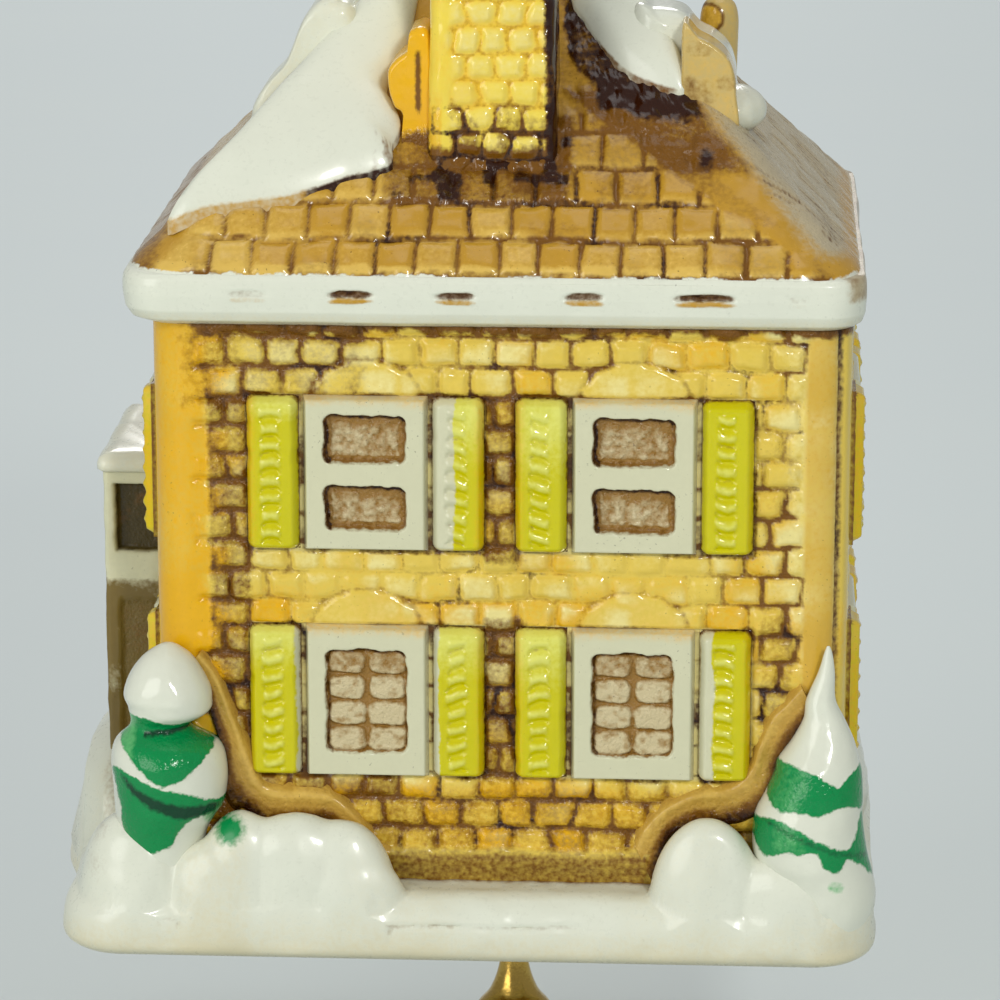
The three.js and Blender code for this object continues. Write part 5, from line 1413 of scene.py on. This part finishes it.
def build_trees():
    """Two snow-laden firs: uneven tiers between a left and a right side line, with green between the snow."""
    trees = (
        ("left", left_tree_paint,
         [(-26.6, 4.6), (-27.8, 8.8), (-28.1, 12.6), (-28.2, 14.3), (-27.9, 15.7), (-26.8, 16.9),
          (-26.9, 18.3), (-27.2, 19.3), (-26.7, 20.8), (-25.7, 22.1), (-24.5, 22.9), (-23.9, 23.05)],
         [(-21.6, 4.6), (-21.4, 8.5), (-20.6, 10.2), (-20.0, 11.2), (-19.75, 13.5), (-20.3, 15.6),
          (-22.4, 16.9), (-21.0, 18.0), (-20.8, 18.8), (-21.0, 20.0), (-22.0, 21.8), (-23.0, 22.7),
          (-23.7, 23.05)]),
        ("right", right_tree_paint,
         [(20.4, 2.2), (19.9, 4.6), (19.2, 6.6), (18.4, 8.1), (18.5, 10.8), (19.2, 12.4), (19.9, 14.1),
          (20.1, 15), (21.1, 16.5), (21.9, 18.1), (22.1, 19.6), (22.9, 21.6), (23.3, 23.0), (23.5, 23.55)],
         [(26.9, 2.2), (27.35, 4.2), (27.3, 5.8), (26.7, 8.1), (26.3, 10.8), (26.3, 12.4), (26.2, 14.1),
          (26.0, 15), (25.6, 16.5), (24.9, 18.1), (24.2, 19.6), (24.1, 21.6), (23.9, 23.0), (23.7, 23.55)]),
    )
    for side, paint_of, *side_points in trees:
        foot, top = side_points[0][0][1], side_points[0][-1][1]
        z = foot + (top - foot) * (1 - np.linspace(1, 0, 130) ** 2)[:, None]
        sides = []
        for points in side_points:
            line = spline(points, 400, closed=False)
            sides.append(np.interp(z, np.maximum.accumulate(line[:, 1]), line[:, 0]))
        middle, half = (sides[0] + sides[1]) / 2, (sides[1] - sides[0]) / 2
        angle = np.linspace(0, 2 * np.pi, 140, endpoint=False)[None]
        lumps = 1 + 0.07 * (rough(angle * 3.2 + 9, z, 2.4, 210) - 0.3) * np.sin(angle) ** 2
        x = middle + half * np.cos(angle)
        y = WALL[2] - 1.2 + np.minimum(half, 4.15) * np.sin(angle) * lumps
        z = z + 0 * x
        seen = 1 - step(-0.5, 1.0, y - WALL[2] + 1.2)
        u, v = x + 0.3 * rough(x, z, 2.0, 211), z + 0.3 * rough(x, z, 2.0, 212)
        green, shadow, thin = paint_of(u, v, x, z)
        back = 0.9 * (1 - seen) * between(7, 17, z + 2 * rough(x, z, 2, 213), 0.5)
        masks = {
            "green": np.maximum(green * seen, back),
            "thin": thin * seen,
            "shadow": shadow * seen,
            "grit": green * seen * 0.5,
        }
        piece(f"snowy_fir_{side}", loops_of(x, y, z), "fir_glaze", f"tree_{side}", masks)


def build_metal():
    """The hanger bent from wire, the ring in its lower eye and the turned clapper with its eye."""
    left, right, _, _, foot, top = extent("hanger_wire")
    wire = 0.45
    eye = (right - left) / 2 - wire
    upper, lower = top - wire - eye, foot + wire + eye
    turn = np.linspace(0, 2 * np.pi, 60)
    low_eye = loops_of(eye * np.sin(turn), 0, lower + eye * np.cos(turn))
    high_eye = loops_of(eye * np.sin(turn), 0, upper - eye * np.cos(turn))
    rise = np.linspace(lower + eye, upper - eye, 30)[1:-1, None] * (0, 0, 1)
    path = np.concatenate([low_eye, rise, high_eye])
    piece("bent_hanger", tube(path, wire), "polished_brass", "hanger_wire")

    _, _, front, back, foot, top = extent("clapper_link")
    wire = 0.4
    loops = wire_ring((back - front) / 2 - wire, wire, (foot + top) / 2)[..., [1, 0, 2]]
    piece("swing_ring", loops, "polished_brass", "clapper_link", joined=True, body="link")

    left, right, _, _, foot, top = extent("clapper")
    rod, bob, flare = 0.6, (right - left) / 2, 13.5
    wire, eye = 0.45, 1.65
    centre = top - wire - eye
    line = spline(
        [(0.03, foot), (bob * 0.55, foot + bob * 0.16), (bob * 0.88, foot + bob * 0.5),
         (bob, foot + bob * 0.95), (bob * 0.9, foot + bob * 1.45), (bob * 0.55, foot + flare * 0.47),
         (bob * 0.32, foot + flare * 0.66), (rod * 1.15, foot + flare), (rod, foot + flare + 3),
         (rod, (foot + centre) / 2), (rod, centre - eye)], 160, closed=False)
    piece("turned_clapper", turned(line, (0, 0), 64), "polished_brass", "clapper", body="clapper")
    loops = wire_ring(eye, wire, centre)
    piece("clapper_eye", loops, "polished_brass", "clapper", joined=True, body="clapper")


def area_light(name, place, size, power, colour=(1, 1, 1)):
    """A round lamp that faces the middle of the house."""
    lamp = bpy.data.lights.new(name, "AREA")
    lamp.shape, lamp.size, lamp.energy, lamp.color = "DISK", size, power, colour
    made = bpy.data.objects.new(name, lamp)
    made.location = place
    made.rotation_euler = (Vector((0, 0, -0.045)) - Vector(place)).to_track_quat("-Z", "Y").to_euler()
    bpy.context.scene.collection.objects.link(made)


def build_stage():
    """A pale floor below the hanging clapper, soft lamps, a pale world and the camera."""
    scene = bpy.context.scene
    gap_below = 0.004
    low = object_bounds()[0][2] - gap_below
    bpy.ops.mesh.primitive_circle_add(vertices=96, radius=3, fill_type="NGON", location=(0, 0, low))
    floor = bpy.context.object
    floor.name = "pale_floor"
    recipe = Recipe("floor_paint", roughness=0.6)
    recipe.feed("Base Color", recipe.mix(recipe.grain(40) * 0.1, tint("floor"), tint("snow")))
    floor.data.materials.append(recipe.made)
    floor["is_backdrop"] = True

    room = Recipe("pale_room", bpy.data.worlds, "Background", color=(0.90, 0.94, 0.95, 1))
    room.feed("Strength", room.add("ShaderNodeLightPath", output="Is Camera Ray") * 0.27 + 0.35)
    scene.world = room.made
    area_light("key", (0.16, -0.45, 0.20), 0.07, 0.92, (1, 0.99, 0.95))
    area_light("soft", (-0.36, -0.42, 0.14), 0.40, 1.3, (1, 0.99, 0.95))
    area_light("top", (0.02, 0.10, 0.50), 0.35, 0.38)
    area_light("rear", (-0.12, 1.6, 0.9), 0.80, 12.0)

    azimuth, elevation, distance = np.radians(3.17), np.radians(15.0), 0.320
    level = np.cos(elevation)
    away = Vector((np.sin(azimuth) * level, -np.cos(azimuth) * level, np.sin(elevation)))
    aim = Vector((0, -0.020, 0.0337 + RIM / MM))
    camera = bpy.data.objects.new("camera", bpy.data.cameras.new("camera"))
    camera.data.sensor_width, camera.data.lens = 36, 161.1
    camera.data.clip_start = 0.01
    camera.location = aim + away * distance
    camera.rotation_euler = (-away).to_track_quat("-Z", "Y").to_euler()
    scene.collection.objects.link(camera)
    scene.camera = camera
    scene.view_settings.view_transform = "Standard"


# Operators, one for each group of pieces


def operator_for(label, build):
    """An Operator class that runs one of the build functions."""
    word = build.__name__.removeprefix("build_")

    def execute(self, context):
        build()
        return {"FINISHED"}

    return type(
        f"HOUSEBELL_OT_{word}",
        (bpy.types.Operator,),
        {"bl_idname": f"house_bell.{word}", "bl_label": label, "__doc__": build.__doc__, "execute": execute},
    )


OPERATORS = [
    operator_for("Snow Base", build_base),
    operator_for("Brick Walls", build_walls),
    operator_for("Eave", build_eave),
    operator_for("Tiled Roof", build_roof),
    operator_for("Roof Snow", build_roof_snow),
    operator_for("Chimney", build_chimney),
    operator_for("Dormers and Stack", build_roof_fixtures),
    operator_for("Front Windows", build_front_windows),
    operator_for("Other Windows", build_other_windows),
    operator_for("Earth Banks", build_banks),
    operator_for("Side Bay", build_bay),
    operator_for("Fir Trees", build_trees),
    operator_for("Hanger and Clapper", build_metal),
    operator_for("Stage", build_stage),
]


class HOUSEBELL_PT_panel(bpy.types.Panel):
    """Buttons that make each group of pieces."""

    bl_label = "House Bell"
    bl_idname = "HOUSEBELL_PT_panel"
    bl_space_type = "VIEW_3D"
    bl_region_type = "UI"
    bl_category = "House Bell"

    def draw(self, context):
        for operator in OPERATORS:
            self.layout.operator(operator.bl_idname)
        for group in (context.scene.house_bell_sizes, context.scene.house_bell_colours):
            for name in group.__annotations__:
                self.layout.prop(group, name)


CLASSES = [HouseBellSizes, HouseBellColours, *OPERATORS, HOUSEBELL_PT_panel]


def register():
    for cls in CLASSES:
        bpy.utils.register_class(cls)
    bpy.types.Scene.house_bell_sizes = bpy.props.PointerProperty(type=HouseBellSizes)
    bpy.types.Scene.house_bell_colours = bpy.props.PointerProperty(type=HouseBellColours)


def unregister():
    del bpy.types.Scene.house_bell_colours
    del bpy.types.Scene.house_bell_sizes
    for cls in reversed(CLASSES):
        bpy.utils.unregister_class(cls)


def main():
    register()
    for operator in OPERATORS:
        getattr(bpy.ops.house_bell, operator.bl_idname.split(".")[1])()


if __name__ == "__main__":
    main()
